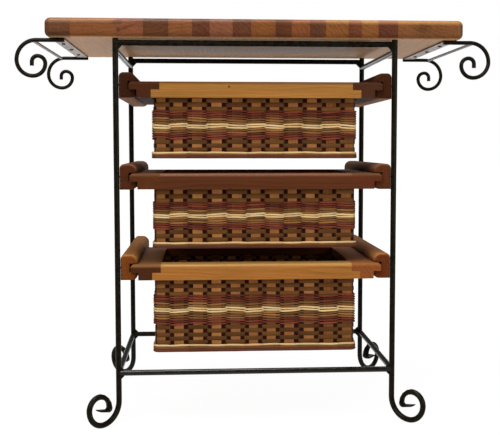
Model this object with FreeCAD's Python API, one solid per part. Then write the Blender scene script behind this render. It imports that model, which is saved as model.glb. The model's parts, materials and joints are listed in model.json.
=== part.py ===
import FreeCAD
import Part
import math
import os

# Kitchen island: striped wooden top, scrolled iron frame, two towel bars and three woven basket drawers.
# Millimetres, +Z up, +X to the right, -Y towards the person who opens the drawers.
# The origin is on the floor, under the middle of the top.

# Driving dimensions of the wooden top
TOP_UNDERSIDE = 860.5
TOP_THICKNESS = 42.0
TOP_DEPTH = 490.0
TOP_EDGE_ROUND = 12.0
TOP_CORNER_ROUND = 14.0

# Boards of the top from left to right: the node that holds the board, and the board's width
TOP_BOARDS = [
    ("top_edge_board_left", 56.0),
    ("top_wide_board_left", 99.0),
    ("top_staves_cherry", 58.0),
    ("top_staves_walnut", 55.0),
    ("top_staves_maple", 51.0),
    ("top_staves_walnut", 39.0),
    ("top_staves_cherry", 50.0),
    ("top_staves_walnut", 41.0),
    ("top_staves_maple", 53.0),
    ("top_staves_walnut", 36.0),
    ("top_staves_cherry", 40.0),
    ("top_staves_walnut", 35.0),
    ("top_staves_maple", 51.0),
    ("top_staves_walnut", 29.0),
    ("top_staves_maple", 37.0),
    ("top_staves_walnut", 44.0),
    ("top_wide_board_right", 148.0),
]

# Driving dimensions of the iron frame
LEG_SPACING_X = 620.0
LEG_INSET_Y = 22.0
BAR_DIAMETER = 12.7
UPPER_BAR_DROP = 10.0
UPPER_SIDE_BAR_DROP = 26.0
LOWER_BAR_HEIGHT = 115.5
UPPER_WELD_LEG = 9.0
LOWER_WELD_LEG = 6.5
WELD_WIDTH = 8.0

# Driving dimensions of a scrolled foot, at the middle of the bar; the tail starts at an angle of the curl, in degrees
FOOT_BEND_RADIUS = 47.0
FOOT_SIDE_RADIUS = 37.0
FOOT_CURL_RADIUS = 28.0
TAIL_START = 95.0
TAIL_OVERLAP = 3.0
TAIL_BEND_RADIUS = 7.0
TAIL_LENGTH = 22.0
TAIL_RISE = 4.0
TAIL_WIDTH = 26.0
TAIL_THICKNESS = 4.0

# Studs that hold the top on the legs
STUD_DIAMETER = 6.0
STUD_IN_LEG = 25.0
STUD_IN_TOP = 20.0

# Driving dimensions of a towel bar
TOWEL_BAR_DIAMETER = 9.0
TOWEL_PLATE_INSET = 12.0
TOWEL_PLATE_WIDTH = 28.0
TOWEL_PLATE_THICKNESS = 3.0
TOWEL_EDGE_INSET = 28.0
TOWEL_ARM_REACH = 21.0
TOWEL_SCROLL_RADII = [43.0, 35.0, 27.0, 16.5, 12.5]
TOWEL_TIP_LENGTH = 9.0
TOWEL_ROD_DIAMETER = 7.0
TOWEL_ROD_REACH = 29.0
TOWEL_SCREW_PITCH = 130.0
TOWEL_SCREW_COUNT = 3

# Driving dimensions of the drawer runners
RUNNER_HEIGHT = 57.0
RUNNER_WIDTH = 38.0
RUNNER_TOP_ROUND = 17.0
RUNNER_BOTTOM_ROUND = 13.0
RUNNER_OUTER_ROUND = 10.0
RUNNER_END_ROUND = 7.0
GROOVE_DEPTH = 18.0
GROOVE_FLOOR = 18.0
GROOVE_HEIGHT = 20.0
UPPER_RUNNER_DROP = 131.0
RUNNER_PITCH = 202.0

# Driving dimensions of the drawer rims
RIM_FRONT_PROUD = 11.0
RIM_DEPTH = 380.0
RIM_THICKNESS = 18.0
WEB_HEIGHT = 17.0
WEB_WIDTH = 28.0
SIDE_WEB_WIDTH = 31.0
RIM_INNER_LIP = 19.0
RIM_ROUND = 8.0

# Driving dimensions of the baskets; the drops are from the underside of the rim, upper drawer first
BASKET_DROPS = [134.0, 133.0, 168.0]
DRAWERS = ["upper", "middle", "lower"]
BASKET_WALL = 9.0
BASKET_FLOOR = 8.0
BASKET_CORNER = 10.0
WINDOW_INSET = 2.5
BAND_PROUD = 1.5
UPPER_WINDOW_HEIGHTS = [29.0, 32.0, 40.5]
LOWER_WINDOW_HEIGHTS = [24.5, 23.5, 43.5]
BASE_RIM_HEIGHT = 11.0
BASE_RIM_THICKNESS = 4.0
BASE_TWINE_HEIGHT = 6.0

# Screws
SCREW_SHANK = 4.0
SCREW_HEAD = 8.0
SCREW_HEAD_HEIGHT = 2.4
RUNNER_SCREW_BITE = 15.0
RUNNER_SCREW_RECESS = 0.8
TOWEL_SCREW_LENGTH = 22.0
BASKET_SCREW_BITE = 14.0
BASKET_SCREW_END = 90.0

# Clearances
SEAT_GAP = 0.2
SLIDE_GAP = 0.3
RUNNER_SIDE_GAP = 2.0
TONGUE_TIP_GAP = 3.0
SCREW_GAP = 0.1
BASKET_GAP = 0.3
STOP_GAP = 1.0

# Values worked out from the driving dimensions
TOP_WIDTH = sum(width for node, width in TOP_BOARDS)
BAR_RADIUS = BAR_DIAMETER / 2
LEG_SPACING_Y = TOP_DEPTH - 2 * LEG_INSET_Y
LEG_X = LEG_SPACING_X / 2
LEG_Y = LEG_SPACING_Y / 2
LEG_TOP = TOP_UNDERSIDE - SEAT_GAP
BAR_HEIGHTS = {
    "upper": (TOP_UNDERSIDE - UPPER_BAR_DROP, TOP_UNDERSIDE - UPPER_SIDE_BAR_DROP),
    "lower": (LOWER_BAR_HEIGHT, LOWER_BAR_HEIGHT),
}
WELD_LEGS = {"upper": UPPER_WELD_LEG, "lower": LOWER_WELD_LEG}
RUNNER_OUTER = LEG_X - BAR_RADIUS - SEAT_GAP
RUNNER_INNER = RUNNER_OUTER - RUNNER_WIDTH
RUNNER_FRONT = -LEG_Y - BAR_RADIUS
RUNNER_BACK = LEG_Y + BAR_RADIUS
GROOVE_END = RUNNER_INNER + GROOVE_DEPTH
TONGUE_TIP = GROOVE_END - TONGUE_TIP_GAP
WEB_OUTER = RUNNER_INNER - RUNNER_SIDE_GAP
WEB_INNER = WEB_OUTER - SIDE_WEB_WIDTH
LIP_INNER = WEB_INNER - RIM_INNER_LIP
RIM_FRONT = RUNNER_FRONT - RIM_FRONT_PROUD
RIM_BACK = RIM_FRONT + RIM_DEPTH
TOWEL_RADIUS = TOWEL_BAR_DIAMETER / 2
TOWEL_Y = TOP_DEPTH / 2 - TOWEL_EDGE_INSET
TOWEL_ARM_Z = TOP_UNDERSIDE - SEAT_GAP - TOWEL_RADIUS
PLATE_OUTER = TOP_WIDTH / 2 - TOWEL_PLATE_INSET
PLATE_INNER = PLATE_OUTER - TOWEL_PLATE_WIDTH

UP = FreeCAD.Vector(0, 0, 1)
ALONG_X = FreeCAD.Vector(1, 0, 0)
ALONG_Y = FreeCAD.Vector(0, 1, 0)


def box(low, high):
    """Box between two opposite corners, given in any order."""
    corner = [min(a, b) for a, b in zip(low, high)]
    size = [abs(b - a) for a, b in zip(low, high)]
    return Part.makeBox(size[0], size[1], size[2], FreeCAD.Vector(corner[0], corner[1], corner[2]))


def round_edges(shape, radius, chosen):
    """Round the straight edges whose middle point and direction pass the test."""
    edges = []
    for edge in shape.Edges:
        ends = [vertex.Point for vertex in edge.Vertexes]
        if len(ends) == 2 and chosen((ends[0] + ends[1]) / 2, (ends[1] - ends[0]).normalize()):
            edges.append(edge)
    return shape.makeFillet(radius, edges)


def near(a, b):
    """True where two lengths are the same."""
    return abs(a - b) < 0.01


def mirrored(shape, side):
    """The shape of the right hand, or its mirror image for the left hand."""
    if side > 0:
        return shape
    return shape.mirror(FreeCAD.Vector(0, 0, 0), ALONG_X)


def screw(tip, direction, length):
    """Pan head screw: the tip of its shank, the way it points, and the length under its head."""
    seat = tip - direction * length
    shank = Part.makeCylinder(SCREW_SHANK / 2, length, seat, direction)
    head = Part.makeCylinder(SCREW_HEAD / 2, SCREW_HEAD_HEIGHT, seat - direction * SCREW_HEAD_HEIGHT, direction)
    outer_edge = [edge for edge in head.Edges if edge.Closed and near(
        (edge.CenterOfMass - seat).dot(direction), -SCREW_HEAD_HEIGHT)]
    return head.makeFillet(SCREW_HEAD_HEIGHT / 2, outer_edge).fuse(shank).removeSplitter()


def headless_screw(tip, direction, length):
    """Screw without a head, sunk a little below the mouth of a hole of this length."""
    sunk_length = length - RUNNER_SCREW_RECESS
    return Part.makeCylinder(SCREW_SHANK / 2, sunk_length, tip - direction * sunk_length, direction)


def screw_hole(tip, direction, length):
    """Hole for the shank of a screw, a little longer and wider than it."""
    hole_length = length + 2 * SCREW_GAP
    start = tip - direction * (length + SCREW_GAP)
    return Part.makeCylinder(SCREW_SHANK / 2 + SCREW_GAP, hole_length, start, direction)


def arc(place, centre, radius, start, end):
    """Arc in a vertical plane; place turns plane coordinates into a point, angles are in degrees."""
    points = []
    for angle in (start, (start + end) / 2, end):
        turn = math.radians(angle)
        points.append(place(centre[0] + radius * math.cos(turn), centre[1] + radius * math.sin(turn)))
    return Part.Arc(points[0], points[1], points[2]).toShape()


def bent_bar(edges, start, direction, diameter):
    """Round bar swept along straight runs and tangent arcs."""
    sweep = Part.BRepOffsetAPI.MakePipeShell(Part.Wire(edges))
    sweep.add(Part.Wire(Part.makeCircle(diameter / 2, start, direction)))
    sweep.build()
    sweep.makeSolid()
    return sweep.shape()


def flat_section(place, across, centre, tangent, width, thickness):
    """Outline of a bar that is hammered flat: an ellipse-like ring of straight runs across the bar."""
    corner_count = 16
    points = []
    for step in range(corner_count):
        turn = 2 * math.pi * step / corner_count
        rise = math.sin(turn) * thickness / 2
        middle = place(centre[0] - tangent[1] * rise, centre[1] + tangent[0] * rise)
        points.append(middle + across * (math.cos(turn) * width / 2))
    return Part.makePolygon(points + [points[0]])


def foot_tail(place, across, curl_centre):
    """Flared and flattened end of a foot, from the top of the curl down and in under it."""
    curl_start = math.radians(TAIL_START)
    curl_run = FOOT_CURL_RADIUS * (math.pi - curl_start)
    bend_centre = (curl_centre[0] - FOOT_CURL_RADIUS + TAIL_BEND_RADIUS, curl_centre[1])
    bend_run = TAIL_BEND_RADIUS * math.pi / 2
    full_length = curl_run + bend_run + TAIL_LENGTH
    arcs = [
        (curl_centre, FOOT_CURL_RADIUS, curl_start, math.pi, 0.0),
        (bend_centre, TAIL_BEND_RADIUS, math.pi, 1.5 * math.pi, curl_run),
    ]
    step_count = 4
    stations = []
    for centre, radius, start, end, run in arcs:
        for step in range(step_count):
            turn = start + step * (end - start) / step_count
            spot = (centre[0] + radius * math.cos(turn), centre[1] + radius * math.sin(turn))
            stations.append((spot, (-math.sin(turn), math.cos(turn)), run + radius * (turn - start)))
    stations.append(((bend_centre[0], bend_centre[1] - TAIL_BEND_RADIUS), (1.0, 0.0), curl_run + bend_run))
    tip = (bend_centre[0] + TAIL_LENGTH, bend_centre[1] - TAIL_BEND_RADIUS + TAIL_RISE)
    slope = math.atan2(TAIL_RISE, TAIL_LENGTH)
    stations.append((tip, (math.cos(slope), math.sin(slope)), full_length))
    sections = []
    for spot, tangent, run in stations:
        share = run / full_length
        width = BAR_DIAMETER + (TAIL_WIDTH - BAR_DIAMETER) * share
        thickness = BAR_DIAMETER + (TAIL_THICKNESS - BAR_DIAMETER) * share
        sections.append(flat_section(place, across, spot, tangent, width, thickness))
    return Part.makeLoft(sections, True, True)


def leg(side, end):
    """One leg with its scrolled foot, which turns out diagonally from the corner of the frame."""
    outward = FreeCAD.Vector(side, end, 0).normalize()
    across = FreeCAD.Vector(-outward.y, outward.x, 0)

    def place(reach, height):
        return FreeCAD.Vector(side * LEG_X, end * LEG_Y, height) + outward * reach

    low = BAR_RADIUS
    side_centre = (FOOT_BEND_RADIUS, low + FOOT_SIDE_RADIUS)
    curl_centre = (FOOT_BEND_RADIUS + FOOT_SIDE_RADIUS - FOOT_CURL_RADIUS, side_centre[1])
    top = place(0, LEG_TOP)
    edges = [
        Part.LineSegment(top, place(0, low + FOOT_BEND_RADIUS)).toShape(),
        arc(place, (FOOT_BEND_RADIUS, low + FOOT_BEND_RADIUS), FOOT_BEND_RADIUS, 180, 270),
        arc(place, side_centre, FOOT_SIDE_RADIUS, 270, 360),
        arc(place, curl_centre, FOOT_CURL_RADIUS, 0, TAIL_START + TAIL_OVERLAP),
    ]
    bar = bent_bar(edges, top, UP, BAR_DIAMETER)
    bar = bar.fuse(foot_tail(place, across, curl_centre))
    stud_hole = Part.makeCylinder(STUD_DIAMETER / 2 + SCREW_GAP, STUD_IN_LEG + SEAT_GAP, top, -UP)
    bar = bar.cut(stud_hole)
    for level in range(len(DRAWERS)):
        tip, direction, length = runner_screw(side, end, level)
        bar = bar.cut(screw_hole(tip, direction, length))
    return bar


def leg_core(side, end):
    """Straight column a little wider than a leg, to cut its seat in the bars and welds that meet it."""
    return round_bar(FreeCAD.Vector(side * LEG_X, end * LEG_Y, 0), UP, TOP_UNDERSIDE, SEAT_GAP)


def round_bar(start, direction, length, gap):
    """Plain bar of the frame; the gap makes it larger all round, to cut its seat in a neighbour."""
    return Part.makeCylinder(BAR_RADIUS + gap, length, start, direction)


def long_bar(end, height, gap=0.0):
    """Bar across the front or the back, from leg to leg."""
    return round_bar(FreeCAD.Vector(-LEG_X, end * LEG_Y, height), ALONG_X, LEG_SPACING_X, gap)


def short_bar(side, height, gap=0.0):
    """Bar along one side, from leg to leg."""
    return round_bar(FreeCAD.Vector(side * LEG_X, -LEG_Y, height), ALONG_Y, LEG_SPACING_Y, gap)


def coped(piece, cutters):
    """The piece with the seats of its neighbours cut out of it."""
    for cutter in cutters:
        piece = piece.cut(cutter)
    return piece


def frame_bars():
    """The eight bars of the frame: long ones at the front and back, short ones at the sides."""
    bars = {}
    for level, (long_z, short_z) in BAR_HEIGHTS.items():
        for name, end in (("front", -1), ("back", 1)):
            legs = [leg_core(side, end) for side in (-1, 1)]
            bars[f"{level}_{name}_bar"] = coped(long_bar(end, long_z), legs)
        for name, side in (("left", -1), ("right", 1)):
            seats = [leg_core(side, end) for end in (-1, 1)]
            seats += [long_bar(end, long_z, SEAT_GAP) for end in (-1, 1)]
            bars[f"{level}_{name}_bar"] = coped(short_bar(side, short_z), seats)
    return bars


def weld(side, end, level, way):
    """Triangular weld in the corner between a leg and a long bar, above (1) or below (-1) the bar."""
    long_z, short_z = BAR_HEIGHTS[level]
    reach = BAR_RADIUS + WELD_LEGS[level]
    axis = FreeCAD.Vector(side * LEG_X, end * LEG_Y - WELD_WIDTH / 2, long_z)
    corners = [
        axis,
        axis + FreeCAD.Vector(-side * reach, 0, way * BAR_RADIUS),
        axis + FreeCAD.Vector(-side * BAR_RADIUS, 0, way * reach),
    ]
    face = Part.Face(Part.makePolygon(corners + [corners[0]]))
    piece = face.extrude(FreeCAD.Vector(0, WELD_WIDTH, 0))
    seats = [leg_core(side, end), long_bar(end, long_z, SEAT_GAP), short_bar(side, short_z, SEAT_GAP)]
    return coped(piece, seats)


def frame_welds():
    """Corner welds: under the upper long bars, above and under the lower ones."""
    upper = []
    lower = []
    for side in (-1, 1):
        for end in (-1, 1):
            upper.append(weld(side, end, "upper", -1))
            lower.append(weld(side, end, "lower", -1))
            lower.append(weld(side, end, "lower", 1))
    return {"upper_corner_welds": upper, "lower_corner_welds": lower}


def stud(side, end):
    """Stud half in the end of a leg and half in the wooden top."""
    foot = FreeCAD.Vector(side * LEG_X, end * LEG_Y, TOP_UNDERSIDE - STUD_IN_LEG)
    return Part.makeCylinder(STUD_DIAMETER / 2, STUD_IN_LEG + STUD_IN_TOP, foot, UP)


def stud_hole_in_top(side, end):
    """Blind hole for a stud in the underside of the top."""
    depth = STUD_IN_TOP + SEAT_GAP
    mouth = FreeCAD.Vector(side * LEG_X, end * LEG_Y, TOP_UNDERSIDE)
    return Part.makeCylinder(STUD_DIAMETER / 2 + SCREW_GAP, depth, mouth, UP)


def towel_screws(side):
    """Places of the screws in one towel bar plate: tip, direction and length."""
    places = []
    for index in range(TOWEL_SCREW_COUNT):
        y = (index - (TOWEL_SCREW_COUNT - 1) / 2) * TOWEL_SCREW_PITCH
        seat = TOP_UNDERSIDE - TOWEL_PLATE_THICKNESS - 2 * SEAT_GAP
        x = side * (PLATE_INNER + PLATE_OUTER) / 2
        places.append((FreeCAD.Vector(x, y, seat + TOWEL_SCREW_LENGTH), UP, TOWEL_SCREW_LENGTH))
    return places


def wooden_top():
    """Boards of the top, cut from one slab with rounded edges."""
    low = (-TOP_WIDTH / 2, -TOP_DEPTH / 2, TOP_UNDERSIDE)
    slab = box(low, (TOP_WIDTH / 2, TOP_DEPTH / 2, TOP_UNDERSIDE + TOP_THICKNESS))
    slab = round_edges(slab, TOP_CORNER_ROUND, lambda middle, way: near(abs(way.z), 1))
    outline = [edge for edge in slab.Edges if near(edge.BoundBox.ZLength, 0)]
    slab = slab.makeFillet(TOP_EDGE_ROUND, outline)
    for side in (-1, 1):
        for end in (-1, 1):
            slab = slab.cut(stud_hole_in_top(side, end))
        for tip, direction, length in towel_screws(side):
            slab = slab.cut(screw_hole(tip, direction, length))
    boards = {}
    left = low[0]
    for node, width in TOP_BOARDS:
        cutter = box((left, low[1], low[2]), (left + width, -low[1], low[2] + TOP_THICKNESS))
        boards.setdefault(node, []).append(slab.common(cutter))
        left += width
    return boards


def towel_bracket(side, end):
    """Scrolled arm under one end of the top: straight along the underside, then a spiral of quarter turns."""
    def place(reach, height):
        return FreeCAD.Vector(side * reach, end * TOWEL_Y, height)

    bend = TOP_WIDTH / 2 + TOWEL_ARM_REACH
    start = place(PLATE_INNER, TOWEL_ARM_Z)
    edges = [Part.LineSegment(start, place(bend, TOWEL_ARM_Z)).toShape()]
    spot = (bend, TOWEL_ARM_Z)
    angle = 90
    for radius in TOWEL_SCROLL_RADII:
        turn = math.radians(angle)
        centre = (spot[0] - radius * math.cos(turn), spot[1] - radius * math.sin(turn))
        edges.append(arc(place, centre, radius, angle, angle - 90))
        angle -= 90
        turn = math.radians(angle)
        spot = (centre[0] + radius * math.cos(turn), centre[1] + radius * math.sin(turn))
    tip = place(spot[0], spot[1] - TOWEL_TIP_LENGTH)
    edges.append(Part.LineSegment(place(spot[0], spot[1]), tip).toShape())
    return bent_bar(edges, start, ALONG_X * side, TOWEL_BAR_DIAMETER)


def towel_plate(side):
    """Flat strip under the top between two brackets, with its screw holes."""
    half = TOWEL_Y - TOWEL_RADIUS - SEAT_GAP
    top = TOP_UNDERSIDE - SEAT_GAP
    plate = box((side * PLATE_INNER, -half, top - TOWEL_PLATE_THICKNESS), (side * PLATE_OUTER, half, top))
    for tip, direction, length in towel_screws(side):
        plate = plate.cut(screw_hole(tip, direction, length))
    return plate


def towel_rod(side):
    """Rod that the towel hangs on, welded between the two arms."""
    half = TOWEL_Y - TOWEL_RADIUS - SEAT_GAP
    height = TOWEL_ARM_Z - arm_drop(TOWEL_ROD_REACH - TOWEL_ARM_REACH)
    start = FreeCAD.Vector(side * (TOP_WIDTH / 2 + TOWEL_ROD_REACH), -half, height)
    return Part.makeCylinder(TOWEL_ROD_DIAMETER / 2, 2 * half, start, ALONG_Y)


def arm_drop(past_bend):
    """How far the arm has come down, this far past the start of its bend."""
    radius = TOWEL_SCROLL_RADII[0]
    return radius - math.sqrt(radius ** 2 - max(past_bend, 0) ** 2)


def runner_bottom(level):
    """Height of the underside of the runners of a drawer, the upper drawer being level 0."""
    return TOP_UNDERSIDE - UPPER_RUNNER_DROP - level * RUNNER_PITCH


def runner_screw(side, end, level):
    """Place of the screw through a leg into a runner: tip, direction and length."""
    direction = ALONG_X * -side
    height = runner_bottom(level) + RUNNER_HEIGHT / 2
    tip = FreeCAD.Vector(side * (RUNNER_OUTER - RUNNER_SCREW_BITE), end * LEG_Y, height)
    length = LEG_X + BAR_RADIUS + SEAT_GAP - (RUNNER_OUTER - RUNNER_SCREW_BITE)
    return tip, direction, length


def runner(side, level):
    """Grooved wooden runner on the inside of two legs; the groove stops short of the back."""
    low = runner_bottom(level)
    high = low + RUNNER_HEIGHT
    bar = box((RUNNER_INNER, RUNNER_FRONT, low), (RUNNER_OUTER, RUNNER_BACK, high))
    rounds = [
        (RUNNER_TOP_ROUND, RUNNER_INNER, high),
        (RUNNER_BOTTOM_ROUND, RUNNER_INNER, low),
        (RUNNER_OUTER_ROUND, RUNNER_OUTER, high),
    ]
    for radius, x, z in rounds:
        bar = round_edges(bar, radius, lambda middle, way: near(middle.x, x) and near(middle.z, z))

    def front_edges(middle, way):
        return near(middle.y, RUNNER_FRONT) and not near(middle.x, RUNNER_OUTER)

    bar = round_edges(bar, RUNNER_END_ROUND, front_edges)
    floor = low + GROOVE_FLOOR
    groove = box((RUNNER_INNER, RUNNER_FRONT, floor), (GROOVE_END, RIM_BACK + STOP_GAP, floor + GROOVE_HEIGHT))
    bar = mirrored(bar.cut(groove), side)
    for end in (-1, 1):
        tip, direction, length = runner_screw(side, end, level)
        bar = bar.cut(screw_hole(tip, direction, length))
    return bar


def rim_heights(level):
    """Underside of the web, underside of the flange and top of the flange of a drawer rim."""
    flange = runner_bottom(level) + GROOVE_FLOOR + SLIDE_GAP
    return flange - WEB_HEIGHT, flange, flange + RIM_THICKNESS


def side_rail(side, level):
    """Side of a drawer rim: a flange whose outer edge runs in the runner, over a narrower web."""
    low, flange, high = rim_heights(level)
    top = box((LIP_INNER, RIM_FRONT, flange), (TONGUE_TIP, RIM_BACK, high))

    def upper_edges(middle, way):
        outer = near(middle.x, TONGUE_TIP)
        end = near(middle.y, RIM_FRONT) or near(middle.y, RIM_BACK)
        return near(middle.z, high) and (outer or end)

    top = round_edges(top, RIM_ROUND, upper_edges)
    web = box((WEB_INNER, RIM_FRONT, low), (WEB_OUTER, RIM_BACK, flange))
    rail = mirrored(top.fuse(web).removeSplitter(), side)
    for tip, direction, length in basket_screws(level):
        if near(abs(direction.x), 1):
            rail = rail.cut(screw_hole(tip, direction, length))
    return rail


def end_rail(end, level):
    """Front (-1) or back (1) of a drawer rim, lapped between the two side rails."""
    low, flange, high = rim_heights(level)
    face = RIM_FRONT if end < 0 else RIM_BACK
    web_back = face - end * WEB_WIDTH
    lip_back = web_back - end * RIM_INNER_LIP
    top = box((-LIP_INNER, face, flange), (LIP_INNER, lip_back, high))
    top = round_edges(top, RIM_ROUND, lambda middle, way: near(middle.y, face) and near(middle.z, high))
    web = box((-WEB_INNER, face, low), (WEB_INNER, web_back, flange))
    rail = top.fuse(web).removeSplitter()
    for tip, direction, length in basket_screws(level):
        if near(abs(direction.y), 1):
            rail = rail.cut(screw_hole(tip, direction, length))
    return rail


def basket_block(outset, low, high):
    """Solid block with the plan of a basket, larger all round by the outset."""
    half = WEB_INNER - BASKET_GAP + outset
    front = RIM_FRONT + WEB_WIDTH + BASKET_GAP - outset
    back = RIM_BACK - WEB_WIDTH - BASKET_GAP + outset
    block = box((-half, front, low), (half, back, high))
    return round_edges(block, BASKET_CORNER, lambda middle, way: near(abs(way.z), 1))


def basket_bottom(level):
    """Height of the underside of a basket."""
    return rim_heights(level)[0] - BASKET_DROPS[level]


def basket(level):
    """Open basket under a drawer rim: rim, open rows, standing-out rows, open rows and twined base."""
    bottom = basket_bottom(level)
    rim_low, flange, high = rim_heights(level)
    band_top = rim_low - UPPER_WINDOW_HEIGHTS[level]
    base_top = bottom + BASE_RIM_HEIGHT + BASE_TWINE_HEIGHT
    band_low = base_top + LOWER_WINDOW_HEIGHTS[level]
    twine_low = bottom + BASE_RIM_HEIGHT + SEAT_GAP
    shell = basket_block(-WINDOW_INSET, bottom, flange)
    shell = shell.fuse(basket_block(0, rim_low, flange))
    shell = shell.fuse(basket_block(BAND_PROUD, band_low, band_top))
    shell = shell.fuse(basket_block(BAND_PROUD, twine_low, base_top))
    shell = shell.cut(basket_block(-WINDOW_INSET - BASKET_WALL, bottom + BASKET_FLOOR, flange))
    for tip, direction, length in basket_screws(level):
        shell = shell.cut(screw_hole(tip, direction, length))
    return shell.removeSplitter()


def base_rim(level):
    """Flat reed hoop round the foot of a basket."""
    bottom = basket_bottom(level)
    high = bottom + BASE_RIM_HEIGHT
    hoop = basket_block(BASE_RIM_THICKNESS - WINDOW_INSET, bottom, high)
    return hoop.cut(basket_block(SEAT_GAP - WINDOW_INSET, bottom, high))


def basket_screws(level):
    """Places of the screws through the basket wall into the web of the rim: tip, direction and length."""
    low, flange, high = rim_heights(level)
    height = (low + flange) / 2
    wall = WINDOW_INSET + BASKET_WALL + BASKET_GAP + SEAT_GAP
    length = wall + BASKET_SCREW_BITE
    places = []
    for side in (-1, 1):
        for y in (RIM_FRONT + BASKET_SCREW_END, RIM_BACK - BASKET_SCREW_END):
            tip = FreeCAD.Vector(side * (WEB_INNER + BASKET_SCREW_BITE), y, height)
            places.append((tip, ALONG_X * side, length))
    for end, face in ((-1, RIM_FRONT), (1, RIM_BACK)):
        for x in (-WEB_INNER + BASKET_SCREW_END, WEB_INNER - BASKET_SCREW_END):
            tip = FreeCAD.Vector(x, face - end * (WEB_WIDTH - BASKET_SCREW_BITE), height)
            places.append((tip, ALONG_Y * end, length))
    return places


def write(nodes):
    """Write each node to a file of its own; a node is one solid or a list of separate solids."""
    os.makedirs("parts", exist_ok=True)
    for name, shape in nodes.items():
        if isinstance(shape, list):
            shape = Part.makeCompound([piece.Solids[0] for piece in shape])
        elif len(shape.Solids) == 1:
            shape = shape.Solids[0]
        shape.exportStep(f"parts/{name}.step")
        print(name, len(shape.Solids), "solids", round(shape.Volume / 1000, 1), "cm3", shape.isValid())


def main():
    """Build every node of the island and write it."""
    nodes = wooden_top()
    ends = (("front", -1), ("back", 1))
    sides = (("left", -1), ("right", 1))
    studs = []
    towel_screw_pieces = []
    runner_screw_pieces = []
    for end_name, end in ends:
        for side_name, side in sides:
            nodes[f"{end_name}_{side_name}_leg"] = leg(side, end)
            studs.append(stud(side, end))
    nodes.update(frame_bars())
    nodes.update(frame_welds())
    for side_name, side in sides:
        for end_name, end in ends:
            nodes[f"{side_name}_towel_{end_name}_bracket"] = towel_bracket(side, end)
        nodes[f"{side_name}_towel_plate"] = towel_plate(side)
        nodes[f"{side_name}_towel_rod"] = towel_rod(side)
        towel_screw_pieces += [screw(tip, direction, length) for tip, direction, length in towel_screws(side)]
    for level, drawer in enumerate(DRAWERS):
        for side_name, side in sides:
            nodes[f"{drawer}_{side_name}_runner"] = runner(side, level)
            nodes[f"{drawer}_{side_name}_rail"] = side_rail(side, level)
            runner_screw_pieces += [headless_screw(*runner_screw(side, end, level)) for name, end in ends]
        for end_name, end in ends:
            nodes[f"{drawer}_{end_name}_rail"] = end_rail(end, level)
        nodes[f"{drawer}_basket"] = basket(level)
        nodes[f"{drawer}_base_rim"] = base_rim(level)
        nodes[f"{drawer}_basket_screws"] = [screw(*place) for place in basket_screws(level)]
    nodes["top_studs"] = studs
    nodes["towel_plate_screws"] = towel_screw_pieces
    nodes["runner_screws"] = runner_screw_pieces
    write(nodes)


main()
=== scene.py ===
"""Looks of a kitchen island: striped wooden top, scrolled iron frame and three woven basket drawers."""

import json
import logging
import math
from dataclasses import dataclass, replace
from enum import Enum

import bpy
import numpy as np
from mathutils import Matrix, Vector


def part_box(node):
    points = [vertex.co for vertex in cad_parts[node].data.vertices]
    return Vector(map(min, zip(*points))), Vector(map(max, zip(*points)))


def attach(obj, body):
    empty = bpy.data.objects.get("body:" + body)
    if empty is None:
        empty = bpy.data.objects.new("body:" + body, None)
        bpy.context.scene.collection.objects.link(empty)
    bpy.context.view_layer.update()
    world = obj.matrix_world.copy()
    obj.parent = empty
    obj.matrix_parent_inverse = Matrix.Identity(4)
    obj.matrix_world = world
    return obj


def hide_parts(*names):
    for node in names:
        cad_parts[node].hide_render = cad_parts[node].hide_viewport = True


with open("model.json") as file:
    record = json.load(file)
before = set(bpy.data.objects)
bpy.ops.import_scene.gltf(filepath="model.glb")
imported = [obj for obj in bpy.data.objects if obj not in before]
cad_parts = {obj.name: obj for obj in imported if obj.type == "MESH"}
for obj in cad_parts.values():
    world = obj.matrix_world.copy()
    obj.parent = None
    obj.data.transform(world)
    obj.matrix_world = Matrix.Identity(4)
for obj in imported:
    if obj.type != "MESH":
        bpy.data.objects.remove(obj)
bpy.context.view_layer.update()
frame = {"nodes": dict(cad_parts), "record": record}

LOG = logging.getLogger("kitchen_island")
MM = 0.001
JOIN_DISTANCE = 0.02 * MM
SMOOTH_ANGLE = math.radians(50)
Colour = tuple[float, float, float, float]
Triple = tuple[float, float, float]
WHITE: Colour = (1.0, 1.0, 1.0, 1.0)
UP: Triple = (0.0, 0.0, 1.0)
DOWN: Triple = (0.0, 0.0, -1.0)


def srgb(red: int, green: int, blue: int) -> Colour:
    """Linear colour of a screen colour.

    Args:
        red: Red, from 0 to 255.
        green: Green, from 0 to 255.
        blue: Blue, from 0 to 255.

    Returns:
        The linear colour with full alpha.
    """
    linear = [((value / 255 + 0.055) / 1.055) ** 2.4 for value in (red, green, blue)]
    return (linear[0], linear[1], linear[2], 1.0)


def shaded(colour: Colour, share: float) -> Colour:
    """The same colour, darker or lighter by a share."""
    return (colour[0] * share, colour[1] * share, colour[2] * share, 1.0)


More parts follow.
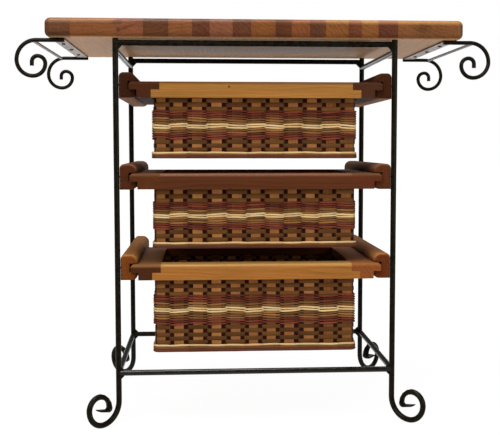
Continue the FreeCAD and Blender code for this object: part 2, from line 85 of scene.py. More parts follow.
class NodeSheet:
    """A node tree with short ways to add nodes and to join them."""

    MEASURES = ("LENGTH", "DISTANCE", "DOT_PRODUCT")
    MIX_INPUTS = (0, 6, 7)
    MIX_RESULT = 2

    def __init__(self, tree: bpy.types.NodeTree) -> None:
        """Keep the tree that the nodes go into."""
        self.tree = tree

    def feed(self, socket: bpy.types.NodeSocket, value: object) -> None:
        """Join a socket to another one, or set its value.

        Args:
            socket: The input.
            value: A socket to join it to, or a plain value.
        """
        if isinstance(value, bpy.types.NodeSocket):
            self.tree.links.new(value, socket)
        else:
            socket.default_value = value

    def add(self, kind: str, settings: dict[str, object] | None = None, **inputs: object) -> bpy.types.Node:
        """Add one node.

        Args:
            kind: Blender's name of the node.
            settings: Properties of the node.
            inputs: Values or sockets for its inputs, with _ for a space.

        Returns:
            The new node.
        """
        node = self.tree.nodes.new(kind)
        for name, value in (settings or {}).items():
            setattr(node, name, value)
        for name, value in inputs.items():
            self.feed(node.inputs[name.replace("_", " ")], value)
        return node

    def worked_out(self, kind: str, operation: str, values: tuple[object, ...]) -> bpy.types.Node:
        """Add a math node of either kind.

        Args:
            kind: Blender's name of the node.
            operation: Blender's name of the operation.
            values: Values or sockets for its inputs, in order.

        Returns:
            The new node.
        """
        node = self.add(kind, {"operation": operation})
        for socket, value in zip(node.inputs, values):
            self.feed(socket, value)
        return node

    def math(self, operation: str, *values: object) -> bpy.types.NodeSocket:
        """Result of a math node on up to three numbers."""
        return self.worked_out("ShaderNodeMath", operation, values).outputs[0]

    def vector(self, operation: str, *values: object) -> bpy.types.NodeSocket:
        """Result of a vector math node: a vector, or a number where it measures one."""
        node = self.worked_out("ShaderNodeVectorMath", operation, values)
        return node.outputs["Value" if operation in self.MEASURES else "Vector"]

    def mix(self, factor: object, first: object, second: object, blend: str = "MIX") -> bpy.types.NodeSocket:
        """Colour between two colours.

        Args:
            factor: Share of the second colour, from 0 to 1.
            first: The first colour.
            second: The second colour.
            blend: Blender's name of the way in which they mix.

        Returns:
            The mixed colour.
        """
        node = self.add("ShaderNodeMix", {"data_type": "RGBA", "blend_type": blend, "clamp_factor": True})
        for index, value in zip(self.MIX_INPUTS, (factor, first, second)):
            self.feed(node.inputs[index], value)
        return node.outputs[self.MIX_RESULT]

    def ramp(self, factor: object, stops: list[tuple[float, Colour]],
             hard: bool = False) -> bpy.types.NodeSocket:
        """Colour from a row of stops.

        Args:
            factor: Place along the row, from 0 to 1.
            stops: Place and colour of each stop, in order.
            hard: True for steps, False for a smooth change.

        Returns:
            The colour at that place.
        """
        node = self.add("ShaderNodeValToRGB", Fac=factor)
        node.color_ramp.interpolation = "CONSTANT" if hard else "LINEAR"
        elements = node.color_ramp.elements
        while len(elements) < len(stops):
            elements.new(1.0)
        for element, (place, colour) in zip(elements, stops):
            element.position = place
            element.color = colour
        return node.outputs[0]

    def span(self, value: object, low: object, high: object, to_low: float = 0.0, to_high: float = 1.0,
             smooth: bool = False) -> bpy.types.NodeSocket:
        """Value moved from one span to another and kept inside it.

        Args:
            value: The value.
            low: Start of the span that it comes from.
            high: End of that span.
            to_low: Start of the span that it goes to.
            to_high: End of that span.
            smooth: True for a soft start and end, False for a straight change.

        Returns:
            The moved value.
        """
        node = self.add("ShaderNodeMapRange", {"interpolation_type": "SMOOTHSTEP" if smooth else "LINEAR"})
        for socket, number in zip(node.inputs, (value, low, high, to_low, to_high)):
            self.feed(socket, number)
        return node.outputs[0]

    def noise(self, place: object, scale: Triple, detail: float = 3.0,
              rough: float = 0.55) -> bpy.types.NodeSocket:
        """Noise whose scale differs along the three axes.

        Args:
            place: Where it is read.
            scale: How fine it is along each axis.
            detail: How many finer layers it has.
            rough: How strong those layers are.

        Returns:
            The noise, from about 0 to 1.
        """
        stretched = self.vector("MULTIPLY", place, scale)
        node = self.add("ShaderNodeTexNoise", Vector=stretched, Scale=1.0, Detail=detail, Roughness=rough)
        return node.outputs["Fac"]

    def facing(self, way: Triple) -> bpy.types.NodeSocket:
        """How far the surface faces a way, from -1 to 1."""
        return self.vector("DOT_PRODUCT", self.add("ShaderNodeTexCoord").outputs["Normal"], way)

    def part(self, place: bpy.types.NodeSocket, axis: str) -> bpy.types.NodeSocket:
        """The X, Y or Z of a place."""
        return self.add("ShaderNodeSeparateXYZ", Vector=place).outputs[axis]


class MaterialSheet(NodeSheet):
    """The nodes of a new material, round its shader."""

    def __init__(self, name: str) -> None:
        """Make the material.

        Args:
            name: Name of the material.
        """
        self.material = bpy.data.materials.new(name)
        self.material.use_nodes = True
        super().__init__(self.material.node_tree)
        self.shader = self.tree.nodes["Principled BSDF"]

    def relief(self, height: object, strength: float, distance: float) -> bpy.types.NodeSocket:
        """Normal of a surface with this relief."""
        return self.add("ShaderNodeBump", Height=height, Strength=strength, Distance=distance).outputs[0]

    def roughness(self, mask: object, middle: float, spread: tuple[float, float]) -> bpy.types.NodeSocket:
        """Roughness that follows a mask from one offset to another."""
        return self.span(mask, 0.0, 1.0, middle + spread[0], middle + spread[1])

    def finished(self, **inputs: object) -> bpy.types.Material:
        """Set the shader.

        Args:
            inputs: Values or sockets for its inputs, with _ for a space.

        Returns:
            The finished material.
        """
        for name, value in inputs.items():
            self.feed(self.shader.inputs[name.replace("_", " ")], value)
        return self.material


class ShaderGroup:
    """A shader node group with named inputs and outputs, built once and used by several finishes."""

    SURFACE = {"Color": "Color", "Height": "Float", "Gloss": "Float"}

    def __init__(self, name: str, inputs: dict[str, str], outputs: dict[str, str]) -> None:
        """Make the empty group.

        Args:
            name: Name of the group.
            inputs: Socket kind of each input.
            outputs: Socket kind of each output.
        """
        self.tree = bpy.data.node_groups.new(name, "ShaderNodeTree")
        for socket, kind in inputs.items():
            self.tree.interface.new_socket(socket, in_out="INPUT", socket_type=f"NodeSocket{kind}")
        for socket, kind in outputs.items():
            self.tree.interface.new_socket(socket, in_out="OUTPUT", socket_type=f"NodeSocket{kind}")
        self.sheet = NodeSheet(self.tree)
        self.given = self.sheet.add("NodeGroupInput").outputs
        self.result = self.sheet.add("NodeGroupOutput").inputs

    def put(self, sheet: NodeSheet, **inputs: object) -> bpy.types.bpy_prop_collection:
        """Place the group in a material and return its outputs."""
        return sheet.add("ShaderNodeGroup", {"node_tree": self.tree}, **inputs).outputs


class WoodGrain(ShaderGroup):
    """Rings, streaks and pores of solid wood whose fibres run along the X axis of the given place."""

    SEED_STEP: Triple = (3.7, 0.31, 0.17)
    HEART: Triple = (0.0, 0.05, 0.11)
    WARP_SCALE: Triple = (2.0, 14.0, 14.0)
    WARP_REACH = 0.05
    RING_LEVELS = ((0.0, 0.15), (0.65, 0.55), (0.9, 1.0), (1.0, 0.15))
    RING_SHARE = 0.42
    STREAK_SCALE: Triple = (7.0, 230.0, 230.0)
    STREAK_SPAN = (0.3, 0.7)
    STREAK_SHARE = 0.34
    STREAK_HEIGHT = 0.5
    BROAD_SCALE: Triple = (1.6, 13.0, 13.0)
    BROAD_SPAN = (0.3, 0.7)
    BROAD_SHARE = 0.34
    PORE_SCALE: Triple = (40.0, 1300.0, 1300.0)
    PORE_SPAN = (0.58, 0.72)
    PORE_SHARE = 0.35

    def __init__(self) -> None:
        """Build the group."""
        inputs = {"Place": "Vector", "Light": "Color", "Dark": "Color", "Seed": "Float", "Ring": "Float"}
        super().__init__("wood_grain", inputs, self.SURFACE)
        sheet, given = self.sheet, self.given
        offset = sheet.vector("SCALE", self.SEED_STEP)
        sheet.feed(offset.node.inputs["Scale"], given["Seed"])
        place = sheet.vector("ADD", given["Place"], offset)
        bend = sheet.math("SUBTRACT", sheet.noise(place, self.WARP_SCALE), 0.5)
        warp = sheet.math("MULTIPLY", bend, self.WARP_REACH)
        across = sheet.vector("MULTIPLY", sheet.vector("ADD", place, self.HEART), (0.0, 1.0, 1.0))
        radius = sheet.math("ADD", sheet.vector("LENGTH", across), warp)
        turn = sheet.math("FRACT", sheet.math("DIVIDE", radius, given["Ring"]))
        ring = sheet.ramp(turn, [(stop, shaded(WHITE, level)) for stop, level in self.RING_LEVELS])
        streak = sheet.span(sheet.noise(place, self.STREAK_SCALE, detail=4.0, rough=0.62), *self.STREAK_SPAN)
        broad = sheet.span(sheet.noise(place, self.BROAD_SCALE, detail=2.0), *self.BROAD_SPAN)
        pores = sheet.span(sheet.noise(place, self.PORE_SCALE, detail=2.0), *self.PORE_SPAN)
        tone = sheet.math("MULTIPLY", streak, self.STREAK_SHARE)
        tone = sheet.math("MULTIPLY_ADD", ring, self.RING_SHARE, tone)
        tone = sheet.math("MULTIPLY_ADD", broad, self.BROAD_SHARE, tone)
        colour = sheet.mix(tone, given["Light"], given["Dark"])
        colour = sheet.mix(sheet.math("MULTIPLY", pores, self.PORE_SHARE), colour, given["Dark"])
        raised = sheet.math("MULTIPLY", streak, self.STREAK_HEIGHT)
        sheet.feed(self.result["Color"], colour)
        sheet.feed(self.result["Height"], sheet.math("SUBTRACT", raised, pores))
        sheet.feed(self.result["Gloss"], streak)


class ReedFibre(ShaderGroup):
    """Fibres of reed along a strand, each stretch in a tone of its own, with painted shade in the crevices.
    """

    STRETCHES: Triple = (2.0, 1.0, 0.0)
    STRETCH_START: Triple = (0.5, 0.0, 0.0)
    STRETCH_SHARE = 0.55
    FIBRE_SCALE: Triple = (3.0, 9.0, 1.0)
    FIBRE_SPAN = (0.3, 0.7)
    FIBRE_SHARE = 0.27
    BLOT_SCALE: Triple = (1.7, 0.6, 1.0)
    BLOT_SPAN = (0.35, 0.65)
    BLOT_SHARE = 0.18

    def __init__(self) -> None:
        """Build the group."""
        inputs = {"Strand": "Vector", "Depth": "Float", "Light": "Color", "Dark": "Color", "Crevice": "Color"}
        super().__init__("reed_fibre", inputs, self.SURFACE)
        sheet, given = self.sheet, self.given
        along = sheet.vector("MULTIPLY_ADD", given["Strand"], self.STRETCHES, self.STRETCH_START)
        stretch = sheet.vector("FLOOR", along)
        toss = sheet.add("ShaderNodeTexWhiteNoise", {"noise_dimensions": "3D"}, Vector=stretch)
        fibre = sheet.noise(given["Strand"], self.FIBRE_SCALE, detail=4.0, rough=0.65)
        fibre = sheet.span(fibre, *self.FIBRE_SPAN)
        blot = sheet.span(sheet.noise(given["Strand"], self.BLOT_SCALE, detail=2.0), *self.BLOT_SPAN)
        share = sheet.math("MULTIPLY", fibre, self.FIBRE_SHARE)
        share = sheet.math("MULTIPLY_ADD", toss.outputs["Value"], self.STRETCH_SHARE, share)
        share = sheet.math("MULTIPLY_ADD", blot, self.BLOT_SHARE, share)
        colour = sheet.mix(share, given["Light"], given["Dark"])
        # Painted shade: the colour goes towards the crevice colour by the share given as Depth.
        sheet.feed(self.result["Color"], sheet.mix(given["Depth"], colour, given["Crevice"]))
        sheet.feed(self.result["Height"], fibre)
        sheet.feed(self.result["Gloss"], fibre)


class WallDepth(ShaderGroup):
    """How deep a point lies in a basket's wall: 0 from Near on, 1 up to Far.

    Both are measured from the middle plane of the wall towards the side that the surface faces. The result is
    the share of painted crevice shade on the reed.
    """

    def __init__(self, half_width: float, half_depth: float, shift: float, middle: float) -> None:
        """Build the group for walls whose middle plane has this plan.

        Args:
            half_width: Half the width of the middle plane.
            half_depth: Half its depth from front to back.
            shift: Where its centre lies along X.
            middle: Where its centre lies along Y.
        """
        inputs = {"Place": "Vector", "Normal": "Vector", "Near": "Float", "Far": "Float"}
        super().__init__("wall_depth", inputs, {"Depth": "Float"})
        sheet, given = self.sheet, self.given
        centred = sheet.vector("SUBTRACT", given["Place"], (shift, middle, 0.0))
        out_x = sheet.math("SUBTRACT", sheet.math("ABSOLUTE", sheet.part(centred, "X")), half_width)
        out_y = sheet.math("SUBTRACT", sheet.math("ABSOLUTE", sheet.part(centred, "Y")), half_depth)
        outward = sheet.math("MAXIMUM", out_x, out_y)
        level = sheet.vector("MULTIPLY", centred, (1.0, 1.0, 0.0))
        side = sheet.math("SIGN", sheet.vector("DOT_PRODUCT", given["Normal"], level))
        towards = sheet.math("MULTIPLY", outward, side)
        sheet.feed(self.result["Depth"], sheet.span(towards, given["Near"], given["Far"], smooth=True))


class GrainAxis(Enum):
    """Which way the fibres of a wooden piece run; the value turns that way onto the X axis."""

    ACROSS = (0.0, 0.0, 0.0)
    DEEP = (0.0, 0.0, math.pi / 2)


@dataclass(frozen=True)
class Knot:
    """A dark spot or crack in a board: its place, its reach along its own axes and its tilt on the face."""

    place: Triple
    reach: Triple
    strength: float = 0.85
    tilt: float = 0.0

    RAGGED_SCALE = (160.0, 160.0, 160.0)
    RAGGED_REACH = 0.8
    EDGE = (1.3, 0.5)
    DARKNESS = 0.15

    def mark(self, sheet: MaterialSheet, place: object, colour: object, wood: Colour) -> bpy.types.NodeSocket:
        """Draw the knot in a board.

        Args:
            sheet: The nodes of the board's material.
            place: The place that is seen.
            colour: The board's colour there.
            wood: The plain colour of its wood.

        Returns:
            The colour with the knot in it.
        """
        offset = sheet.vector("SUBTRACT", place, self.place)
        level = sheet.add("ShaderNodeVectorRotate", {"rotation_type": "Y_AXIS"}, Vector=offset,
                          Angle=self.tilt)
        away = sheet.vector("LENGTH", sheet.vector("DIVIDE", level.outputs[0], self.reach))
        ragged = sheet.math("MULTIPLY", sheet.noise(place, self.RAGGED_SCALE), self.RAGGED_REACH)
        core = sheet.span(sheet.math("ADD", away, ragged), *self.EDGE, 0.0, self.strength, smooth=True)
        return sheet.mix(core, colour, shaded(wood, self.DARKNESS))


@dataclass(frozen=True)
class WoodFinish:
    """Oiled or varnished wood, where wanted with other colours on its ends and below, painted light and shade
    on its top, and a painted highlight on its upper edge.

    The upper edge is rounded under that painted highlight, and the reach is the stretch along X over which
    the highlight sets in.
    """

    name: str
    colour: Colour
    axis: GrainAxis = GrainAxis.DEEP
    ring: float = 9.0 * MM
    contrast: float = 0.35
    roughness: float = 0.45
    specular: float = 0.12
    coat: float = 0.0
    end_grain: Colour | None = None
    top_light_shade: Colour | None = None
    edge_highlight: Colour | None = None
    highlight_reach: tuple[float, float] | None = None
    underside: Colour | None = None
    knots: tuple[Knot, ...] = ()

    # UPPER_FACES, LEVEL_FACES and UPPER_TONES shape the painted top light and shade and the painted edge
    # highlight.
    UPPER_FACES = (0.0, 0.65)
    LEVEL_FACES = (0.8, 0.98)
    LOWER_FACES = (0.75, 0.97)
    END_FACES = (0.55, 0.95)
    UPPER_TONES = (1.12, 0.86)
    LOWER_TONES = (1.25, 0.7)
    END_TONES = (1.0, 0.6)
    LIGHT_GRAIN = 0.85
    DARK_GRAIN = 1.1
    SEEDS = 13
    SEED_STEP = 0.37
    BOARD_SEEDS = 7
    BOARD_STRIDE = 3
    BOARD_SEED_SPAN = 5.0
    ROUGHNESS_SPREAD = (0.08, -0.06)
    COAT_ROUGHNESS = 0.22
    RELIEF = (0.12, 0.4 * MM)

    def material(self, grain: WoodGrain, boards: list[tuple[float, float]] | None = None,
                 tones: tuple[Colour, ...] = ()) -> bpy.types.Material:
        """Make the material.

        Args:
            grain: The shared grain effect.
            boards: Left and right edge of each board along X, where a node holds several.
            tones: Colour of each of those boards.

        Returns:
            The finished material.
        """
        sheet = MaterialSheet(self.name)
        place = sheet.add("ShaderNodeTexCoord").outputs["Object"]
        lighter = 1.0 + self.LIGHT_GRAIN * self.contrast
        darker = 1.0 - self.DARK_GRAIN * self.contrast
        light: object = shaded(self.colour, lighter)
        dark: object = shaded(self.colour, darker)
        seed: object = self.own_seed()
        if boards:
            tone, seed = self.board_tones(sheet, place, boards, tones)
            light = sheet.mix(1.0, tone, shaded(WHITE, lighter), "MULTIPLY")
            dark = sheet.mix(1.0, tone, shaded(WHITE, darker), "MULTIPLY")
        turned = sheet.add("ShaderNodeMapping", Vector=place, Rotation=self.axis.value).outputs[0]
        wood = grain.put(sheet, Place=turned, Light=light, Dark=dark, Seed=seed, Ring=self.ring)
        gloss = wood["Gloss"]
        colour = self.painted_top_light(sheet, place, wood["Color"], gloss)
        coat: object = self.coat
        if self.underside:
            down = sheet.span(sheet.facing(DOWN), *self.LOWER_FACES)
            colour = sheet.mix(down, colour, self.streaked(sheet, gloss, self.underside, self.LOWER_TONES))
            if self.coat:
                coat = sheet.math("MULTIPLY", sheet.math("SUBTRACT", 1.0, down), self.coat)
        if self.end_grain:
            way = (1.0, 0.0, 0.0) if self.axis is GrainAxis.ACROSS else (0.0, 1.0, 0.0)
            end = sheet.span(sheet.math("ABSOLUTE", sheet.facing(way)), *self.END_FACES)
            colour = sheet.mix(end, colour, self.streaked(sheet, gloss, self.end_grain, self.END_TONES))
        for knot in self.knots:
            colour = knot.mark(sheet, place, colour, self.colour)
        return sheet.finished(
            Base_Color=colour,
            Roughness=sheet.roughness(gloss, self.roughness, self.ROUGHNESS_SPREAD),
            Specular_IOR_Level=self.specular,
            Coat_Weight=coat,
            Coat_Roughness=self.COAT_ROUGHNESS,
            Normal=sheet.relief(wood["Height"], *self.RELIEF),
        )

    def own_seed(self) -> float:
        """Number that sets this wood's grain apart, from its name."""
        return sum(ord(letter) for letter in self.name) % self.SEEDS * self.SEED_STEP

    def board_tones(self, sheet: MaterialSheet, place: bpy.types.NodeSocket,
                    boards: list[tuple[float, float]],
                    tones: tuple[Colour, ...]) -> tuple[bpy.types.NodeSocket, bpy.types.NodeSocket]:
        """Give each board of a node a colour and a grain of its own.

        Args:
            sheet: The nodes of the material.
            place: The place that is seen.
            boards: Left and right edge of each board along X.
            tones: Colour of each board.

        Returns:
            The colour and the seed of the grain at that place.
        """
        left, right = boards[0][0], boards[-1][1]
        share = sheet.span(sheet.part(place, "X"), left, right)
        starts = [(edges[0] - left) / (right - left) for edges in boards]
        tone = sheet.ramp(share, list(zip(starts, tones)), hard=True)
        numbers = []
        for index, start in enumerate(starts):
            number = self.BOARD_STRIDE * index % self.BOARD_SEEDS
            numbers.append((start, shaded(WHITE, number / self.BOARD_SEEDS)))
        return tone, sheet.math("MULTIPLY", sheet.ramp(share, numbers, hard=True), self.BOARD_SEED_SPAN)

    @staticmethod
    def streaked(sheet: MaterialSheet, gloss: object, colour: Colour,
                 levels: tuple[float, float]) -> bpy.types.NodeSocket:
        """A colour with the streaks of the grain in it, between two levels."""
        return sheet.mix(gloss, shaded(colour, levels[0]), shaded(colour, levels[1]))

    def painted_top_light(self, sheet: MaterialSheet, place: bpy.types.NodeSocket, colour: bpy.types.NodeSocket,
                    gloss: bpy.types.NodeSocket) -> bpy.types.NodeSocket:
        """Paint light and shade on the top faces and a highlight on the rounded upper edge.

        Args:
            sheet: The nodes of the material.
            place: The place that is seen.
            colour: The colour of the other faces.
            gloss: The streaks of the grain.

        Returns:
            The colour with both in it.
        """
        # Painted light and shade on the faces turned up.
        if self.top_light_shade:
            share = sheet.span(sheet.facing(UP), *self.UPPER_FACES)
            colour = sheet.mix(share, colour, self.streaked(sheet, gloss, self.top_light_shade, self.UPPER_TONES))
        # Painted highlight on the rounded upper edge, not on the flat top.
        if self.edge_highlight:
            up = sheet.facing(UP)
            not_level = sheet.span(up, *self.LEVEL_FACES, 1.0, 0.0)
            share = sheet.math("MULTIPLY", sheet.span(up, *self.UPPER_FACES), not_level)
            if self.highlight_reach:
                share = sheet.math("MULTIPLY", share, sheet.span(sheet.part(place, "X"), *self.highlight_reach))
            colour = sheet.mix(share, colour, self.streaked(sheet, gloss, self.edge_highlight, self.UPPER_TONES))
        return colour


@dataclass(frozen=True)
class IronFinish:
    """Satin black paint on forged iron, painted grey on the towel plates and rods as a painted reflection;
    edges is the colour of the upright edges of a flat strip.
    """

    name: str
    colour: Colour
    wear_and_sheen: Colour
    roughness: float = 0.4
    specular: float = 0.3
    metallic: float = 0.0
    edges: Colour | None = None

    MOTTLE_SCALE = (90.0, 90.0, 90.0)
    MOTTLE_SPAN = (0.35, 0.65)
    HAMMER_SCALE = (150.0, 150.0, 150.0)
    FLAT_FACES = (0.5, 0.9)
    ROUGHNESS_SPREAD = (-0.07, 0.09)
    RELIEF = (0.18, 0.8 * MM)

    def material(self) -> bpy.types.Material:
        """Make the material.

        Returns:
            The finished material.
        """
        sheet = MaterialSheet(self.name)
        place = sheet.add("ShaderNodeTexCoord").outputs["Object"]
        mottle = sheet.span(sheet.noise(place, self.MOTTLE_SCALE, detail=4.0), *self.MOTTLE_SPAN)
        hammered = sheet.noise(place, self.HAMMER_SCALE, detail=2.0)
        colour = sheet.mix(mottle, self.colour, self.wear_and_sheen)
        if self.edges:
            level = sheet.math("ABSOLUTE", sheet.facing(UP))
            colour = sheet.mix(sheet.span(level, *self.FLAT_FACES), self.edges, colour)
        return sheet.finished(
            Base_Color=colour,
            Roughness=sheet.roughness(mottle, self.roughness, self.ROUGHNESS_SPREAD),
            Specular_IOR_Level=self.specular,
            Metallic=self.metallic,
            Normal=sheet.relief(hammered, *self.RELIEF),
        )


@dataclass(frozen=True)
class ReedFinish:
    """Dyed or bare reed, with painted crevice shade by a share between two depths in the wall; a stake is
    also darker towards its foot, partly its own tone and partly painted shade.
    """

    name: str
    light: Colour
    dark: Colour
    crevice_shade: Colour
    near: float = 4.2 * MM
    far: float = -1.0 * MM
    shade: float = 0.88
    foot: float = 0.0
    roughness: float = 0.5
    specular: float = 0.12

    FOOT_SPAN = (0.5, 0.3)
    ROUGHNESS_SPREAD = (-0.06, 0.12)
    RELIEF = (0.25, 0.4 * MM)

    def material(self, fibre: ReedFibre, wall: WallDepth | None) -> bpy.types.Material:
        """Make the material.

        Args:
            fibre: The shared reed effect.
            wall: The shared depth effect, or none for reed outside the walls.

        Returns:
            The finished material.
        """
        sheet = MaterialSheet(self.name)
        strand = sheet.add("ShaderNodeUVMap", {"uv_map": Strand.UV_NAME}).outputs[0]
        # Share of painted crevice shade: by depth in the wall, and on a stake by nearness to its foot.
        depth: object = 0.0
        if wall:
            spot = sheet.add("ShaderNodeTexCoord").outputs
            within = wall.put(sheet, Place=spot["Object"], Normal=spot["Normal"], Near=self.near,
                              Far=self.far)
            depth = sheet.math("MULTIPLY", within["Depth"], self.shade)
        # A stake turns darker towards its foot, towards the painted crevice shade colour: partly its own
        # tone, partly painted shade.
        elif self.foot:
            top, bottom = (share * Strand.STAKE_SPAN for share in self.FOOT_SPAN)
            depth = sheet.span(sheet.part(strand, "X"), top, bottom, 0.0, self.foot)
        reed = fibre.put(sheet, Strand=strand, Depth=depth, Light=self.light, Dark=self.dark,
                         Crevice=self.crevice_shade)
        return sheet.finished(
            Base_Color=reed["Color"],
            Roughness=sheet.roughness(reed["Gloss"], self.roughness, self.ROUGHNESS_SPREAD),
            Specular_IOR_Level=self.specular,
            Normal=sheet.relief(reed["Height"], *self.RELIEF),
        )


def dress(piece: bpy.types.Object, material: bpy.types.Material) -> None:
    """Give a piece one material all over."""
    piece.data.materials.clear()
    piece.data.materials.append(material)


def deselect() -> None:
    """Leave object mode with nothing selected."""
    if bpy.context.object and bpy.context.object.mode != "OBJECT":
        bpy.ops.object.mode_set(mode="OBJECT")
    bpy.ops.object.select_all(action="DESELECT")


def pick(pieces: list[bpy.types.Object]) -> None:
    """Select only some pieces.

    Args:
        pieces: The pieces, of which the first becomes active.
    """
    deselect()
    for piece in pieces:
        piece.select_set(True)
    bpy.context.view_layer.objects.active = pieces[0]


def apply_place() -> None:
    """Move the place, turn and scale of what is selected into its mesh."""
    bpy.ops.object.transform_apply(location=True, rotation=True, scale=True)


def apply_all(piece: bpy.types.Object) -> None:
    """Apply the place and the modifiers of a piece.

    Args:
        piece: The piece.
    """
    pick([piece])
    apply_place()
    for modifier in list(piece.modifiers):
        bpy.ops.object.modifier_apply(modifier=modifier.name)


def repeat(piece: bpy.types.Object, count: int, step: Triple) -> None:
    """Repeat a piece in a row and apply it, with the ends that meet joined.

    Args:
        piece: The piece.
        count: How many times it stands in the row.
        step: How far one stands from the next.
    """
    rows = piece.modifiers.new("rows", "ARRAY")
    rows.use_relative_offset = False
    rows.use_constant_offset = True
    rows.constant_offset_displace = step
    rows.count = count
    rows.use_merge_vertices = True
    rows.merge_threshold = JOIN_DISTANCE
    apply_all(piece)


def own_copy(piece: bpy.types.Object) -> bpy.types.Object:
    """Copy a piece.

    Args:
        piece: The piece.

    Returns:
        The copy, with a mesh of its own, in the scene.
    """
    copy = piece.copy()
    copy.data = piece.data.copy()
    bpy.context.scene.collection.objects.link(copy)
    return copy


def joined(pieces: list[bpy.types.Object], name: str) -> bpy.types.Object:
    """Join pieces into one.

    Args:
        pieces: The pieces.
        name: Name of the whole.

    Returns:
        The whole, selected and active.
    """
    pick(pieces)
    bpy.ops.object.join()
    whole = bpy.context.object
    whole.name = name
    return whole


def smooth(piece: bpy.types.Object) -> None:
    """Smooth the shading of a piece except at its sharp edges."""
    pick([piece])
    bpy.ops.object.shade_smooth_by_angle(angle=SMOOTH_ANGLE)


def vertex_places(mesh: bpy.types.Mesh) -> np.ndarray:
    """Places of the vertices of a mesh.

    Args:
        mesh: The mesh.

    Returns:
        One row of X, Y and Z for each vertex.
    """
    places = np.zeros(len(mesh.vertices) * 3)
    mesh.vertices.foreach_get("co", places)
    return places.reshape(-1, 3)


class Section(Enum):
    """Shape of a strand across its length."""

    ROUND = "round"
    FLAT = "flat"


@dataclass(frozen=True)
class Strand:
    """One strand of reed: its section and how it swings in and out past the stakes, in metres.

    A kind of strand that fills rows of different heights gets its height from the row.
    """

    section: Section
    thickness: float
    swing: float
    height: float = 0.0
    outset: float = 0.0
    squeeze: float = 0.0
    steps: int = 20
    sharpness: float = 2.4
    lift: float = 0.0

    UV_NAME = "strand"
    UV_MARGIN = 0.02
    STAKE_SPAN = 0.2
    STAKE_FILL = 0.9
    ROUND_SIDES = 8
    FLAT_CHAMFER = 0.32

    def wave(self, share: float) -> float:
        """Swing of the strand, from -1 to 1, a share of two stakes along it."""
        return math.tanh(self.sharpness * math.cos(2 * math.pi * share)) / math.tanh(self.sharpness)

    def unit(self, name: str, pitch: float, sign: int) -> bpy.types.Object:
        """Model the stretch that passes two stakes, along +X, with -Y as the outside.

        Args:
            name: Name of the piece.
            pitch: Distance between two stakes.
            sign: 1 to start outside a stake, -1 to start inside it.

        Returns:
            The open tube of that stretch.
        """
        deselect()
        first = -(self.outset + sign * self.swing * self.wave(0.0))
        start = {"location": (0.0, first, 0.0), "rotation": (0.0, math.pi / 2, 0.0)}
        if self.section is Section.ROUND:
            bpy.ops.mesh.primitive_circle_add(vertices=self.ROUND_SIDES, radius=0.5, **start)
        else:
            bpy.ops.mesh.primitive_plane_add(size=1.0, **start)
        piece = bpy.context.object
        piece.name = name
        piece.scale = (self.height, self.thickness, 1.0)
        apply_place()
        bpy.ops.object.mode_set(mode="EDIT")
        bpy.ops.mesh.select_mode(type="EDGE")
        bpy.ops.mesh.select_all(action="SELECT")
        if self.section is Section.FLAT:
            bpy.ops.mesh.bevel(affect="VERTICES", offset=self.thickness * self.FLAT_CHAMFER, segments=1)
            bpy.ops.mesh.select_all(action="SELECT")
            bpy.ops.mesh.delete(type="ONLY_FACE")
            bpy.ops.mesh.select_all(action="SELECT")
        self.draw_out(pitch, sign, first)
        bpy.ops.mesh.select_all(action="SELECT")
        bpy.ops.mesh.normals_make_consistent(inside=False)
        bpy.ops.object.mode_set(mode="OBJECT")
        return piece

    def draw_out(self, pitch: float, sign: int, first: float) -> None:
        """Extrude the selected section along its swing, squeezed and sloped where strands cross.

        Args:
            pitch: Distance between two stakes.
            sign: 1 to start outside a stake, -1 to start inside it.
            first: Where the section starts along Y.
        """
        step = 2 * pitch / self.steps
        before, level, tall = first, 0.0, 1.0
        for index in range(1, self.steps + 1):
            swing = self.wave(index / self.steps)
            side = -(self.outset + sign * self.swing * swing)
            rise = self.lift * math.sin(2 * math.pi * index / self.steps)
            move = (step, side - before, rise - level)
            bpy.ops.mesh.extrude_region_move(TRANSFORM_OT_translate={"value": move})
            wanted = 1.0 - self.squeeze * (1.0 - abs(swing))
            centre = (index * step, side, rise)
            bpy.ops.transform.resize(value=(1.0, 1.0, wanted / tall), center_override=centre)
            before, level, tall = side, rise, wanted

    def mark(self, piece: bpy.types.Object, pitch: float, row: int) -> None:
        """Write the strand's own map: pairs of stakes along it, and the row and the height across it.

        Args:
            piece: The straight strand.
            pitch: Distance between two stakes.
            row: Number of the row.
        """
        mesh = piece.data
        layer = mesh.uv_layers.get(self.UV_NAME) or mesh.uv_layers.new(name=self.UV_NAME)
        corners = np.zeros(len(mesh.loops), dtype=np.int32)
        mesh.loops.foreach_get("vertex_index", corners)
        spots = vertex_places(mesh)[corners]
        along = spots[:, 0] / (2 * pitch)
        across = np.clip(spots[:, 2] / self.height + 0.5, self.UV_MARGIN, 1.0 - self.UV_MARGIN) + row
        layer.data.foreach_set("uv", np.column_stack((along, across)).astype(np.float32).ravel())


@dataclass(frozen=True)
class WovenRow:
    """One row of weaving: the strand, its height, and which stakes it passes outside."""

    strand: Strand
    height: float
    sign: int


